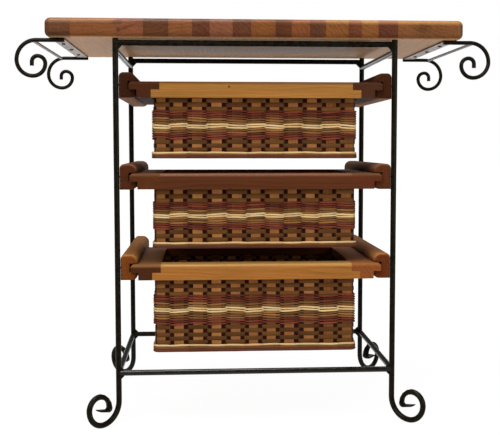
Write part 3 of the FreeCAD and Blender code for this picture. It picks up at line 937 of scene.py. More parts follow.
class Loom:
    """The plan of the basket walls, round which the rows are woven and the stakes stand."""

    STAKES = 36
    CORNER = 8.0 * MM
    WAVES = ((7, 0.4), (17, 0.35), (29, 0.25))
    WAVE_PHASE = 0.618
    SWAY_KEY = 0.37
    SWAY_SHARE = 0.5
    ROW_KEY = 1.37 * MM

    def __init__(self, half_width: float, half_depth: float, shift: float, middle: float) -> None:
        """Draw the plan.

        Args:
            half_width: Half the width of the walls' middle plane.
            half_depth: Half its depth.
            shift: Where its centre lies along X.
            middle: Where its centre lies along Y.
        """
        self.half_width = half_width
        self.half_depth = half_depth
        self.shift = shift
        self.middle = middle
        self.length = 4 * (half_width + half_depth) - (8 - 2 * math.pi) * self.CORNER
        self.pitch = self.length / self.STAKES
        self.strands: dict[tuple[Strand, int], bpy.types.Object] = {}

    def trace(self, run: np.ndarray) -> tuple[np.ndarray, np.ndarray, np.ndarray]:
        """Follow the plan from the front at X = 0, to the right first.

        Args:
            run: Distances along the plan.

        Returns:
            X, Y and the heading of the plan at each distance.
        """
        straight_x = self.half_width - self.CORNER
        straight_y = self.half_depth - self.CORNER
        bend = self.CORNER * math.pi / 2
        legs = (straight_x + self.shift, bend, 2 * straight_y, bend, 2 * straight_x, bend, 2 * straight_y,
                bend, straight_x - self.shift)
        x, y, heading = np.zeros_like(run), np.zeros_like(run), np.zeros_like(run)
        spot_x, spot_y, faced, passed = 0.0, self.middle - self.half_depth, 0.0, 0.0
        for index, leg in enumerate(legs):
            part = np.clip(run - passed, 0.0, leg)
            here = run >= passed
            if index % 2:
                turned = faced + part / self.CORNER
                across = self.CORNER * (np.sin(turned) - math.sin(faced))
                along = self.CORNER * (math.cos(faced) - np.cos(turned))
            else:
                turned = np.full_like(run, faced)
                across = part * math.cos(faced)
                along = part * math.sin(faced)
            x[here] = (spot_x + across)[here]
            y[here] = (spot_y + along)[here]
            heading[here] = turned[here]
            if index % 2:
                spot_x += self.CORNER * (math.sin(faced + math.pi / 2) - math.sin(faced))
                spot_y += self.CORNER * (math.cos(faced) - math.cos(faced + math.pi / 2))
                faced += math.pi / 2
            else:
                spot_x += leg * math.cos(faced)
                spot_y += leg * math.sin(faced)
            passed += leg
        return x, y, heading

    def wander(self, run: np.ndarray, key: float, reach: float) -> np.ndarray:
        """Slow waves of a strand that close after one round of the plan.

        Args:
            run: Distances along the plan.
            key: Number that sets the waves of one strand apart.
            reach: How high the waves are at most.

        Returns:
            The offset at each distance.
        """
        total = np.zeros_like(run)
        for cycles, share in self.WAVES:
            phase = math.tau * ((key * cycles * self.WAVE_PHASE) % 1.0)
            total += share * np.sin(math.tau * cycles * run / self.length + phase)
        return reach * total

    def drifted(self, run: np.ndarray, drift: tuple[float, ...]) -> np.ndarray:
        """Move places along the plan as far as the stakes of the front stand off their even places.

        Args:
            run: Distances along the plan, from 0 to its length.
            drift: How far each stake of the front stands to the right of its even place, from left to right.

        Returns:
            The moved distances.
        """
        reach = len(drift) // 2 + 2
        stakes = np.arange(-reach, reach + 1) * self.pitch
        offsets = np.array((0.0, 0.0, *drift, 0.0, 0.0))
        signed = np.where(run > self.length / 2, run - self.length, run)
        return np.mod(run + np.interp(signed, stakes, offsets), self.length)

    def bend_round(self, piece: bpy.types.Object, drift: tuple[float, ...], key: float = 0.0,
                   unevenness: float = 0.0) -> None:
        """Bend a straight piece that lies along X round the plan, with its -Y side turned outwards.

        Args:
            piece: The piece.
            drift: How far each stake of the front stands off its even place.
            key: Number that sets how the piece wanders.
            unevenness: How far it wanders up and down; in and out it wanders less.
        """
        spots = vertex_places(piece.data)
        run = self.drifted(np.mod(spots[:, 0], self.length), drift)
        outward = self.wander(run, key + self.SWAY_KEY, unevenness * self.SWAY_SHARE) - spots[:, 1]
        x, y, heading = self.trace(run)
        height = spots[:, 2] + self.wander(run, key, unevenness)
        bent = np.column_stack((x + outward * np.sin(heading), y - outward * np.cos(heading), height))
        piece.data.vertices.foreach_set("co", bent.ravel())
        piece.data.update()

    def straight_strand(self, strand: Strand, sign: int) -> bpy.types.Object:
        """Straight strand long enough for one row, made once for each kind.

        Args:
            strand: The kind of strand.
            sign: 1 to start outside a stake, -1 to start inside it.

        Returns:
            The strand to copy.
        """
        if (strand, sign) not in self.strands:
            piece = strand.unit("strand", self.pitch, sign)
            repeat(piece, self.STAKES // 2, (2 * self.pitch, 0.0, 0.0))
            piece.location.x = -self.length / 2
            apply_all(piece)
            self.strands[strand, sign] = piece
        return self.strands[strand, sign]

    def weave(self, name: str, rows: list[WovenRow], drift: tuple[float, ...],
              unevenness: float) -> bpy.types.Object:
        """Weave rows of one kind of reed into one piece.

        Args:
            name: Name of the piece.
            rows: The rows.
            drift: How far each stake of the front stands off its even place.
            unevenness: How far the strands wander.

        Returns:
            The piece, in place.
        """
        strands = []
        for index, row in enumerate(rows):
            strand = own_copy(self.straight_strand(row.strand, row.sign))
            row.strand.mark(strand, self.pitch, index)
            strand.location.z = row.height
            apply_all(strand)
            self.bend_round(strand, drift, row.height / self.ROW_KEY, unevenness)
            strands.append(strand)
        piece = joined(strands, name)
        bpy.ops.object.mode_set(mode="EDIT")
        bpy.ops.mesh.select_all(action="SELECT")
        bpy.ops.mesh.remove_doubles(threshold=JOIN_DISTANCE)
        bpy.ops.object.mode_set(mode="OBJECT")
        smooth(piece)
        return piece

    def clear(self) -> None:
        """Remove the straight strands once all baskets are woven."""
        for piece in self.strands.values():
            bpy.data.objects.remove(piece)


@dataclass(frozen=True)
class BasketReeds:
    """The finishes of a basket."""

    stake: bpy.types.Material
    # Olive weavers: one copy painted lighter for the upper rows, one painted darker for the lower rows.
    olive_lit: bpy.types.Material
    olive_shaded: bpy.types.Material
    burgundy: bpy.types.Material
    tan: bpy.types.Material
    cream: bpy.types.Material
    base: bpy.types.Material
    # Hoops: a painted-shade copy for the lower hoop and a painted-light copy for the upper one.
    hoop: bpy.types.Material
    hoop_top: bpy.types.Material
    # core: dark sheet of painted shade inside the walls.
    core: bpy.types.Material
    mat: bpy.types.Material


@dataclass
class WovenBasket:
    """One drawer's basket: stakes, flat weavers, bands of round reed, hoops and woven floor, in metres."""

    drawer: str
    lowest_sign: int
    lower_rows: int
    lower_window: float
    bands: tuple[int, ...]
    band_height: float
    upper_pitch: float
    hoop_height: float
    drift: tuple[float, ...]
    stake_width: float = 21.5 * MM
    stake_thickness: float = 1.8 * MM
    stake_edge: float = 0.5 * MM
    base_height: float = 5.0 * MM
    floor_height: float = 4.5 * MM
    core_thickness: float = 0.6 * MM

    FLAT = Strand(Section.FLAT, thickness=1.5 * MM, swing=1.7 * MM)
    REED = Strand(Section.ROUND, thickness=4.8 * MM, swing=3.9 * MM, height=4.3 * MM, squeeze=0.2,
                  sharpness=2.8, lift=0.7 * MM)
    BASE = Strand(Section.ROUND, thickness=4.6 * MM, swing=0.5 * MM, height=4.9 * MM, outset=3.9 * MM,
                  squeeze=0.2)
    HOOP = Strand(Section.ROUND, thickness=4.6 * MM, swing=0.0, outset=4.0 * MM)
    FLOOR_STRIP = Strand(Section.FLAT, thickness=1.8 * MM, swing=1.1 * MM, sharpness=1.2)
    BAND_REEDS = ("burgundy", "tan", "cream", "tan", "burgundy")
    BAND_GAP = 0.5 * MM
    FLAT_OVERLAP = 0.6 * MM
    HOOP_OVERLAP = 0.3 * MM
    FLAT_WANDER = 0.35 * MM
    REED_WANDER = 0.7 * MM
    PALE_WANDER = 0.8 * MM
    HOOP_WANDER = 0.15 * MM
    INSET = 0.8 * MM
    STAKE_CUTS = 8
    STRIP_FILL = 0.985
    STRIP_PAIRS = 6
    LENGTHWISE_BESIDE = 3
    CROSSWISE_BESIDE = 5
    LENGTHWISE_ROW = 20

    def build(self, loom: Loom, reeds: BasketReeds) -> None:
        """Make and dress all pieces of the basket.

        Args:
            loom: The plan of the walls.
            reeds: The finishes.
        """
        low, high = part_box(f"{self.drawer}_basket")
        base_low = low.z + self.hoop_height
        window_low = base_low + self.base_height
        band_low = window_low + self.lower_window
        band_top = band_low + self.band_height
        base = [WovenRow(self.BASE, base_low + self.BASE.height / 2, 1)]
        lower_pitch = self.lower_window / self.lower_rows
        lower, sign = self.flat_rows(window_low, lower_pitch, self.lower_rows, self.lowest_sign)
        bands, sign = self.band_rows(band_low, sign)
        count = int((high.z - band_top) / self.upper_pitch)
        upper, sign = self.flat_rows(band_top, self.upper_pitch, count, sign)
        last_low = band_top + count * self.upper_pitch
        upper += self.flat_rows(last_low, high.z - last_low, 1, sign)[0]
        woven = (
            # The upper weavers take the painted-light copy of the olive, the lower ones the darker
            # painted-shade copy.
            ("upper_weavers", upper, self.FLAT_WANDER, reeds.olive_lit),
            ("lower_weavers", lower, self.FLAT_WANDER, reeds.olive_shaded),
            ("burgundy_reeds", bands["burgundy"], self.REED_WANDER, reeds.burgundy),
            ("tan_reeds", bands["tan"], self.REED_WANDER, reeds.tan),
            ("cream_reeds", bands["cream"], self.PALE_WANDER, reeds.cream),
            ("base_row", base, self.PALE_WANDER, reeds.base),
        )
        made = [(loom.weave(f"{self.drawer}_{name}", rows, self.drift, unevenness), finish)
                for name, rows, unevenness, finish in woven]
        made.append((self.stakes(loom, low.z, high.z), reeds.stake))
        # The dark core sheet is painted shade in the wall's gaps.
        made.append((self.core(loom, low.z, high.z), reeds.core))
        made.append((self.floor(loom, low.z + self.floor_height), reeds.mat))
        for piece, finish in made:
            dress(piece, finish)
            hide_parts(f"{self.drawer}_basket")
        hoops = []
        # The upper hoop takes the painted-light copy of the hoop reed, the lower one the painted-shade copy.
        for name, share, finish in (("lower", 0.25, reeds.hoop), ("upper", 0.75, reeds.hoop_top)):
            strand = replace(self.HOOP, height=self.hoop_height / 2 + self.HOOP_OVERLAP)
            row = WovenRow(strand, low.z + share * self.hoop_height, 1)
            hoop = loom.weave(f"{self.drawer}_{name}_hoop", [row], self.drift, self.HOOP_WANDER)
            dress(hoop, finish)
            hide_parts(f"{self.drawer}_base_rim")
            hoops.append(hoop)
        for piece in [piece for piece, _ in made] + hoops:
            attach(piece, f"{self.drawer}_drawer")
            LOG.info("%s: %d faces", piece.name, len(piece.data.polygons))

    def flat_rows(self, low: float, pitch: float, count: int, sign: int) -> tuple[list[WovenRow], int]:
        """Rows of flat weavers.

        Args:
            low: Height that they start from.
            pitch: Distance from one to the next.
            count: How many there are.
            sign: 1 where the lowest starts outside a stake, -1 where it starts inside it.

        Returns:
            The rows, and the sign of the next row above them.
        """
        rows = []
        strand = replace(self.FLAT, height=pitch + self.FLAT_OVERLAP)
        for index in range(count):
            rows.append(WovenRow(strand, low + (index + 0.5) * pitch, sign))
            sign = -sign
        return rows, sign

    def band_rows(self, low: float, sign: int) -> tuple[dict[str, list[WovenRow]], int]:
        """Rows of the bands of round reed.

        Args:
            low: Height that they start from.
            sign: 1 where the lowest starts outside a stake, -1 where it starts inside it.

        Returns:
            The rows by colour, and the sign of the next row above them.
        """
        rows: dict[str, list[WovenRow]] = {}
        half = self.REED.height / 2
        pitch = (self.band_height - half) / (sum(self.bands) - 1)
        height = low + half + self.BAND_GAP
        for reed, count in zip(self.BAND_REEDS, self.bands):
            for _ in range(count):
                rows.setdefault(reed, []).append(WovenRow(self.REED, height, sign))
                height += pitch
                sign = -sign
        return rows, sign

    def core(self, loom: Loom, low: float, high: float) -> bpy.types.Object:
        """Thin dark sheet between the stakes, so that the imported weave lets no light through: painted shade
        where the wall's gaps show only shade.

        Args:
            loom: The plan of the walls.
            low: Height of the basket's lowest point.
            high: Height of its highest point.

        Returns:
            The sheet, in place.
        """
        tall = high - low - 2 * self.INSET
        sheet = replace(self.FLAT, height=tall, thickness=self.core_thickness, swing=0.0)
        return loom.weave(f"{self.drawer}_wall_core", [WovenRow(sheet, (low + high) / 2, 1)], self.drift, 0.0)

    def stakes(self, loom: Loom, low: float, high: float) -> bpy.types.Object:
        """The upright stakes, from the floor of the basket to its rim.

        Args:
            loom: The plan of the walls.
            low: Height of the basket's lowest point.
            high: Height of its highest point.

        Returns:
            All stakes as one piece, in place.
        """
        stake = self.one_stake(low, high)
        copies = []
        for index in range(loom.STAKES):
            copy = own_copy(stake)
            for corner in copy.data.uv_layers[Strand.UV_NAME].data:
                corner.uv[1] += index
            copy.location.x = index * loom.pitch
            copies.append(copy)
        bpy.data.objects.remove(stake)
        piece = joined(copies, f"{self.drawer}_stakes")
        apply_place()
        loom.bend_round(piece, self.drift)
        smooth(piece)
        return piece

    def one_stake(self, low: float, high: float) -> bpy.types.Object:
        """Model one stake at X = 0, cut across so that it can bend round a corner.

        Args:
            low: Height of the basket's lowest point.
            high: Height of its highest point.

        Returns:
            The stake, with its own map.
        """
        deselect()
        bpy.ops.mesh.primitive_cube_add(size=1.0, location=(0.0, 0.0, (low + high) / 2))
        stake = bpy.context.object
        stake.scale = (self.stake_width, self.stake_thickness, high - low - 2 * self.INSET)
        apply_place()
        bpy.ops.object.mode_set(mode="EDIT")
        bpy.ops.mesh.select_all(action="SELECT")
        bpy.ops.mesh.bevel(affect="EDGES", offset=self.stake_edge, segments=2)
        for cut in range(1, self.STAKE_CUTS):
            bpy.ops.mesh.select_all(action="SELECT")
            across = (cut / self.STAKE_CUTS - 0.5) * self.stake_width
            bpy.ops.mesh.bisect(plane_co=(across, 0.0, 0.0), plane_no=(1.0, 0.0, 0.0))
        bpy.ops.object.mode_set(mode="OBJECT")
        layer = stake.data.uv_layers.new(name=Strand.UV_NAME)
        for corner in stake.data.loops:
            spot = stake.data.vertices[corner.vertex_index].co
            share = (spot.z - low) / (high - low)
            across = spot.x / self.stake_width * Strand.STAKE_FILL + 0.5
            layer.data[corner.index].uv = (Strand.STAKE_SPAN * share, across)
        return stake

    def floor(self, loom: Loom, height: float) -> bpy.types.Object:
        """The floor: wide flat strips woven over and under each other.

        Args:
            loom: The plan of the walls.
            height: Height of the floor.

        Returns:
            All strips as one piece, in place.
        """
        strips = []
        layers = (
            (True, loom.half_width, self.LENGTHWISE_BESIDE),
            (False, loom.half_depth, self.CROSSWISE_BESIDE),
        )
        for lengthwise, reach, beside in layers:
            for index in range(-beside, beside + 1):
                strips.append(self.floor_strip(loom, lengthwise, reach, index))
        piece = joined(strips, f"{self.drawer}_floor")
        piece.location = (loom.shift, loom.middle, height)
        apply_place()
        smooth(piece)
        return piece

    def floor_strip(self, loom: Loom, lengthwise: bool, reach: float, index: int) -> bpy.types.Object:
        """One strip of the floor.

        Args:
            loom: The plan of the walls.
            lengthwise: True for a strip along X, False for one from front to back.
            reach: Half the length of the strip.
            index: Number of the strip, 0 for the middle one.

        Returns:
            The strip, with the middle of the floor at the origin.
        """
        sign = 1 if (index % 2 == 0) == lengthwise else -1
        strip = replace(self.FLOOR_STRIP, height=loom.pitch * self.STRIP_FILL)
        piece = strip.unit("strip", loom.pitch, sign)
        repeat(piece, self.STRIP_PAIRS, (2 * loom.pitch, 0.0, 0.0))
        strip.mark(piece, loom.pitch, index + self.LENGTHWISE_ROW * lengthwise)
        piece.location.x = -self.STRIP_PAIRS * loom.pitch
        apply_place()
        bpy.ops.object.mode_set(mode="EDIT")
        for side in (-1, 1):
            bpy.ops.mesh.select_all(action="SELECT")
            bpy.ops.mesh.bisect(plane_co=(side * reach, 0.0, 0.0), plane_no=(side, 0.0, 0.0), use_fill=True,
                                clear_outer=True)
        bpy.ops.object.mode_set(mode="OBJECT")
        piece.rotation_euler = (math.pi / 2, 0.0, 0.0 if lengthwise else math.pi / 2)
        offset = index * loom.pitch
        piece.location = (0.0, offset, 0.0) if lengthwise else (offset, 0.0, 0.0)
        apply_place()
        return piece


def millimetres(*lengths: float) -> tuple[float, ...]:
    """Lengths in metres from lengths in millimetres."""
    return tuple(length * MM for length in lengths)


@dataclass
class BasketDrawers:
    """The three baskets, woven round one plan that is narrower on the right by twice the slack."""

    slack: float = 2.0 * MM
    baskets: tuple[WovenBasket, ...] = (
        WovenBasket(
            "upper", lowest_sign=-1, lower_rows=3, lower_window=26.5 * MM, bands=(5, 4, 4, 5, 6),
            band_height=63.5 * MM, upper_pitch=9.7 * MM, hoop_height=10.0 * MM,
            drift=millimetres(-0.5, -6.9, -5.7, -4.7, 0.8, 1.3, -0.8, -0.6, -0.4, 1.2, 0.5)),
        WovenBasket(
            "middle", lowest_sign=1, lower_rows=3, lower_window=27.3 * MM, bands=(5, 5, 4, 4, 6),
            band_height=60.5 * MM, upper_pitch=10.0 * MM, hoop_height=8.2 * MM,
            drift=millimetres(-3.5, -6.9, -5.7, -3.8, -0.4, -1, 0, -2.3, -3.6, -6.5, -6.9)),
        WovenBasket(
            "lower", lowest_sign=-1, lower_rows=5, lower_window=43.2 * MM, bands=(5, 5, 4, 4, 6),
            band_height=67.0 * MM, upper_pitch=9.0 * MM, hoop_height=12.3 * MM,
            drift=millimetres(-5.4, -7.2, -4.7, -6.4, -4, -6, -7.5, -9.6, -5.3, -2.3, -2.7)),
    )

    # Colour of the painted shade in the crevices of the weave.
    CREVICE_SHADE = srgb(52, 15, 2)

    def build(self) -> None:
        """Weave the baskets."""
        low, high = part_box("upper_basket")
        proud = WovenBasket.REED.swing + WovenBasket.REED.thickness / 2
        half_width = (high.x - low.x) / 2 - proud - self.slack
        half_depth = (high.y - low.y) / 2 - proud
        loom = Loom(half_width, half_depth, -self.slack, (low.y + high.y) / 2)
        reeds = self.reeds(WallDepth(half_width, half_depth, loom.shift, loom.middle))
        for basket in self.baskets:
            basket.build(loom, reeds)
        loom.clear()

    def reeds(self, wall: WallDepth) -> BasketReeds:
        """Make the finishes.

        Args:
            wall: The shared depth effect.

        Returns:
            The finishes of all three baskets.
        """
        fibre = ReedFibre()
        # dark is the painted crevice shade colour.
        dark = self.CREVICE_SHADE
        # Two copies of one olive reed: the upper rows painted lighter against the rim's shadow over them, the
        # lower rows painted darker.
        olive_lit = ReedFinish("olive_lit_weaver", srgb(132, 86, 40), srgb(86, 49, 21), dark, near=1.2 * MM, far=0.0,
                           shade=0.97)
        woven = {
            "olive_lit": olive_lit,
            "olive_shaded": replace(olive_lit, name="olive_shaded_weaver", light=srgb(114, 74, 32),
                                 dark=srgb(74, 42, 18)),
            "burgundy": ReedFinish("burgundy_reed", srgb(156, 78, 54), srgb(58, 24, 16), dark),
            "tan": ReedFinish("tan_reed", srgb(184, 130, 74), srgb(76, 45, 24), dark),
            # The cream reed has a paler painted crevice shade of its own.
            "cream": ReedFinish("cream_reed", srgb(254, 224, 166), srgb(212, 172, 116), srgb(80, 50, 26),
                                shade=0.25),
        }
        plain = {
            # The stake darkens towards its foot: partly its own tone, partly painted shade.
            "stake": ReedFinish("golden_stake", srgb(204, 138, 76), srgb(108, 56, 25), dark, foot=0.2),
            "base": ReedFinish("base_reed", srgb(238, 204, 146), srgb(190, 150, 98), dark),
            # Two copies of one hoop reed: the upper hoop painted lighter as if lit from above, the lower one
            # painted darker as shade on its underside.
            "hoop": ReedFinish("hoop_reed", srgb(112, 60, 40), srgb(80, 40, 26), dark),
            "hoop_top": ReedFinish("hoop_top_reed", srgb(128, 84, 46), srgb(92, 54, 28), dark),
            # A dark sheet of painted shade inside the walls.
            "core": ReedFinish("wall_core", srgb(50, 16, 3), srgb(40, 12, 2), dark),
            "mat": ReedFinish("floor_reed", srgb(140, 96, 54), srgb(100, 62, 34), dark),
        }
        made = {name: finish.material(fibre, wall) for name, finish in woven.items()}
        made.update({name: finish.material(fibre, None) for name, finish in plain.items()})
        return BasketReeds(**made)


@dataclass(frozen=True)
class PhotoCamera:
    """The photograph's camera, fitted to the straight edges of the island: pixels, metres and degrees."""

    image_width: int = 500
    image_height: int = 435
    focal_length: float = 952.7
    principal_point: tuple[float, float] = (264.8, 214.3)
    place: Triple = (-0.1179, -2.3503, 0.6232)
    right_turn: float = 3.678
    down_tilt: float = 4.070

    SENSOR_WIDTH = 36.0
    FAR_LIMIT = 100.0

    def build(self) -> None:
        """Make the camera and use it."""
        deselect()
        turned = (math.radians(90 - self.down_tilt), 0.0, math.radians(-self.right_turn))
        bpy.ops.object.camera_add(location=self.place, rotation=turned)
        camera = bpy.context.object
        camera.name = "photo_camera"
        camera.data.sensor_width = self.SENSOR_WIDTH
        camera.data.lens = self.SENSOR_WIDTH * self.focal_length / self.image_width
        camera.data.shift_x = (self.image_width / 2 - self.principal_point[0]) / self.image_width
        camera.data.shift_y = (self.principal_point[1] - self.image_height / 2) / self.image_width
        camera.data.clip_end = self.FAR_LIMIT
        bpy.context.scene.camera = camera


@dataclass(frozen=True)
class Lamp:
    """A soft square lamp that points at the middle of the island."""

    name: str
    place: Triple
    size: float
    power: float

    AIM = (0.0, 0.0, 0.45)

    def build(self) -> None:
        """Hang the lamp."""
        deselect()
        beam = Vector(self.AIM) - Vector(self.place)
        turned = beam.to_track_quat("-Z", "Y").to_euler()
        bpy.ops.object.light_add(type="AREA", location=self.place, rotation=turned)
        lamp = bpy.context.object
        lamp.name = self.name
        lamp.data.size = self.size
        lamp.data.energy = self.power


@dataclass(frozen=True)
class Studio:
    """White floor and surroundings with soft lamps."""

    floor_size: float = 60.0
    floor_tone: float = 0.62
    floor_white: float = 1.08
    sky_light: float = 0.38
    dark_side: float = 0.1
    bright_side: float = 0.95
    bright_reach: tuple[float, float] = (-0.9, 0.6)
    shadow_share: float = 0.12
    shadow_reach: tuple[float, float] = (0.7, 1.6)
    lamps: tuple[Lamp, ...] = (
        Lamp("front_lamp", (-1.6, -2.9, 2.5), size=2.0, power=52.0),
        Lamp("top_lamp", (-0.4, -0.75, 3.3), size=1.6, power=62.0),
        Lamp("fill_lamp", (2.2, -2.4, 0.9), size=1.6, power=18.0),
        Lamp("back_lamp", (0.3, 2.4, 2.6), size=2.0, power=30.0),
    )

    def build(self) -> None:
        """Make the floor, the surroundings, the lamps and the camera."""
        bpy.context.scene.view_settings.view_transform = "Standard"
        self.build_floor()
        self.build_world()
        for lamp in self.lamps:
            lamp.build()
        PhotoCamera().build()

    @staticmethod
    def blended(sheet: NodeSheet, share: object, lit: object, white: object) -> bpy.types.NodeSocket:
        """Mix what is lit and what shows white.

        Args:
            sheet: The nodes of the floor or of the surroundings.
            share: Share of white, from 0 to 1.
            lit: Shader of what is lit.
            white: Shader of what shows white.

        Returns:
            The mixed shader.
        """
        mixed = sheet.add("ShaderNodeMixShader", Fac=share)
        sheet.feed(mixed.inputs[1], lit)
        sheet.feed(mixed.inputs[2], white)
        return mixed.outputs[0]

    @staticmethod
    def seen(sheet: NodeSheet) -> bpy.types.NodeSocket:
        """1 for rays that show the background: from the camera, a reflection or a transmission.

        Args:
            sheet: The nodes of the floor or of the surroundings.

        Returns:
            1 for such a ray, 0 for others.
        """
        path = sheet.add("ShaderNodeLightPath").outputs
        mirrored = sheet.math("MAXIMUM", path["Is Glossy Ray"], path["Is Transmission Ray"])
        return sheet.math("MAXIMUM", path["Is Camera Ray"], mirrored)

    @staticmethod
    def mirrored_level(sheet: NodeSheet, room: object) -> bpy.types.NodeSocket:
        """Level of the white background: full in view, and as bright as the room in a reflection.

        Args:
            sheet: The nodes of the floor or of the surroundings.
            room: Level of the room, 1 for white.

        Returns:
            The level, 1 for white.
        """
        mirrored = sheet.add("ShaderNodeLightPath").outputs["Is Glossy Ray"]
        return sheet.math("ADD", 1.0, sheet.math("MULTIPLY", mirrored, sheet.math("SUBTRACT", room, 1.0)))

    def build_floor(self) -> None:
        """Pale floor that shows white, with the island's soft shadow."""
        deselect()
        bpy.ops.mesh.primitive_plane_add(size=self.floor_size)
        floor = bpy.context.object
        floor.name = "studio_floor"
        sheet = MaterialSheet("studio_floor")
        sheet.tree.nodes.remove(sheet.shader)
        matt = sheet.add("ShaderNodeBsdfDiffuse", Color=shaded(WHITE, self.floor_tone)).outputs[0]
        place = sheet.add("ShaderNodeTexCoord").outputs["Object"]
        depth = sheet.part(place, "Y")
        room = sheet.span(depth, *self.bright_reach, self.dark_side, self.bright_side, True)
        level = sheet.math("MULTIPLY", self.mirrored_level(sheet, room), self.floor_white)
        white = sheet.add("ShaderNodeEmission", Color=WHITE, Strength=level).outputs[0]
        shade = sheet.span(sheet.vector("LENGTH", place), *self.shadow_reach, self.shadow_share, 0.0, True)
        share = sheet.math("MULTIPLY", self.seen(sheet), sheet.math("SUBTRACT", 1.0, shade))
        surface = sheet.tree.nodes["Material Output"].inputs["Surface"]
        sheet.feed(surface, self.blended(sheet, share, matt, white))
        dress(floor, sheet.material)

    def build_world(self) -> None:
        """White surroundings, dimmer as a light and in a reflection than as a background."""
        world = bpy.data.worlds.new("studio")
        bpy.context.scene.world = world
        world.use_nodes = True
        sheet = NodeSheet(world.node_tree)
        light = world.node_tree.nodes["Background"]
        light.inputs["Color"].default_value = WHITE
        light.inputs["Strength"].default_value = self.sky_light
        level = self.mirrored_level(sheet, self.dark_side)
        white = sheet.add("ShaderNodeBackground", Color=WHITE, Strength=level).outputs[0]
        surface = world.node_tree.nodes["World Output"].inputs["Surface"]
        sheet.feed(surface, self.blended(sheet, self.seen(sheet), light.outputs[0], white))


@dataclass
class WoodenTop:
    """The top, glued up from wide boards and narrow staves."""

    STAVES = {
        "top_staves_cherry": (srgb(133, 76, 44), srgb(132, 78, 51), srgb(125, 69, 35)),
        "top_staves_walnut": (srgb(98, 55, 27), srgb(99, 53, 30), srgb(96, 53, 30), srgb(92, 50, 25),
                              srgb(99, 56, 32), srgb(105, 56, 33), srgb(103, 54, 34)),
        "top_staves_maple": (srgb(134, 79, 41), srgb(127, 73, 32), srgb(134, 80, 36), srgb(132, 79, 36)),
    }
    # Painted highlights on the rounded front edge of the staves.
    EDGE_HIGHLIGHTS = {
        "top_staves_cherry": srgb(180, 124, 78),
        "top_staves_walnut": srgb(172, 112, 78),
        "top_staves_maple": srgb(182, 138, 82),
    }
    UNDERSIDE = srgb(208, 153, 99)
    # Stretch along X over which the painted edge highlight sets in.
    HIGHLIGHT_REACH = (0.03, 0.25)
    COAT = 0.25
    BOARD_GAP = 0.5 * MM
    # A broad patch low on the left end of the front face, darker towards the bottom.
    EDGE_DARK_PATCH = (Knot((-0.43, -0.245, 0.858), (110 * MM, 60 * MM, 34 * MM), strength=0.4),)
    LEFT_KNOTS = (Knot((-0.309, -0.245, 0.893), (12 * MM, 30 * MM, 9 * MM), strength=0.45),)
    RIGHT_KNOTS = (Knot((0.369, -0.245, 0.883), (28 * MM, 30 * MM, 17 * MM), strength=0.4),)
    STAVE_KNOTS = (
        Knot((-0.3015, -0.245, 0.877), (8 * MM, 30 * MM, 10 * MM), strength=0.65),
        Knot((-0.303, -0.245, 0.893), (18 * MM, 30 * MM, 9 * MM), strength=0.5),
        Knot((-0.2825, -0.245, 0.8825), (42 * MM, 30 * MM, 3.4 * MM), strength=0.5, tilt=0.36),
        Knot((-0.2875, -0.245, 0.8785), (30 * MM, 30 * MM, 3 * MM), strength=0.45, tilt=0.26),
    )

    def dress(self, grain: WoodGrain) -> None:
        """Finish each board.

        Args:
            grain: The shared grain effect.
        """
        # The rounding colours are painted highlights on the boards' rounded upper edges.
        edge = WoodFinish("edge_board", srgb(106, 62, 33), coat=self.COAT, edge_highlight=srgb(144, 98, 58),
                          underside=self.UNDERSIDE, knots=self.EDGE_DARK_PATCH)
        wide = {
            "top_edge_board_left": edge,
            "top_wide_board_left": replace(edge, name="left_board", colour=srgb(130, 76, 36), contrast=0.45,
                                           edge_highlight=srgb(152, 98, 54), knots=self.LEFT_KNOTS),
            "top_wide_board_right": replace(edge, name="right_board", colour=srgb(129, 79, 40), contrast=0.45,
                                            edge_highlight=srgb(184, 130, 74), knots=self.RIGHT_KNOTS),
        }
        for node, finish in wide.items():
            dress(frame["nodes"][node], finish.material(grain))
        for node, tones in self.STAVES.items():
            knots = self.STAVE_KNOTS if node == "top_staves_cherry" else ()
            finish = replace(edge, name=node, colour=tones[0], contrast=0.5, edge_highlight=self.EDGE_HIGHLIGHTS[node],
                             highlight_reach=self.HIGHLIGHT_REACH, knots=knots)
            dress(frame["nodes"][node], finish.material(grain, self.board_edges(node), tones))
        LOG.info("wooden top dressed")

    def board_edges(self, node: str) -> list[tuple[float, float]]:
        """Find the separate boards of a node.

        Args:
            node: Name of the node.

        Returns:
            Left and right edge of each board, from left to right.
        """
        mesh = frame["nodes"][node].data
        spans = []
        for face in mesh.polygons:
            places = [mesh.vertices[index].co.x for index in face.vertices]
            spans.append((min(places), max(places)))
        boards: list[list[float]] = []
        for low, high in sorted(spans):
            if boards and low <= boards[-1][1] + self.BOARD_GAP:
                boards[-1][1] = max(boards[-1][1], high)
            else:
                boards.append([low, high])
        return [(low, high) for low, high in boards]


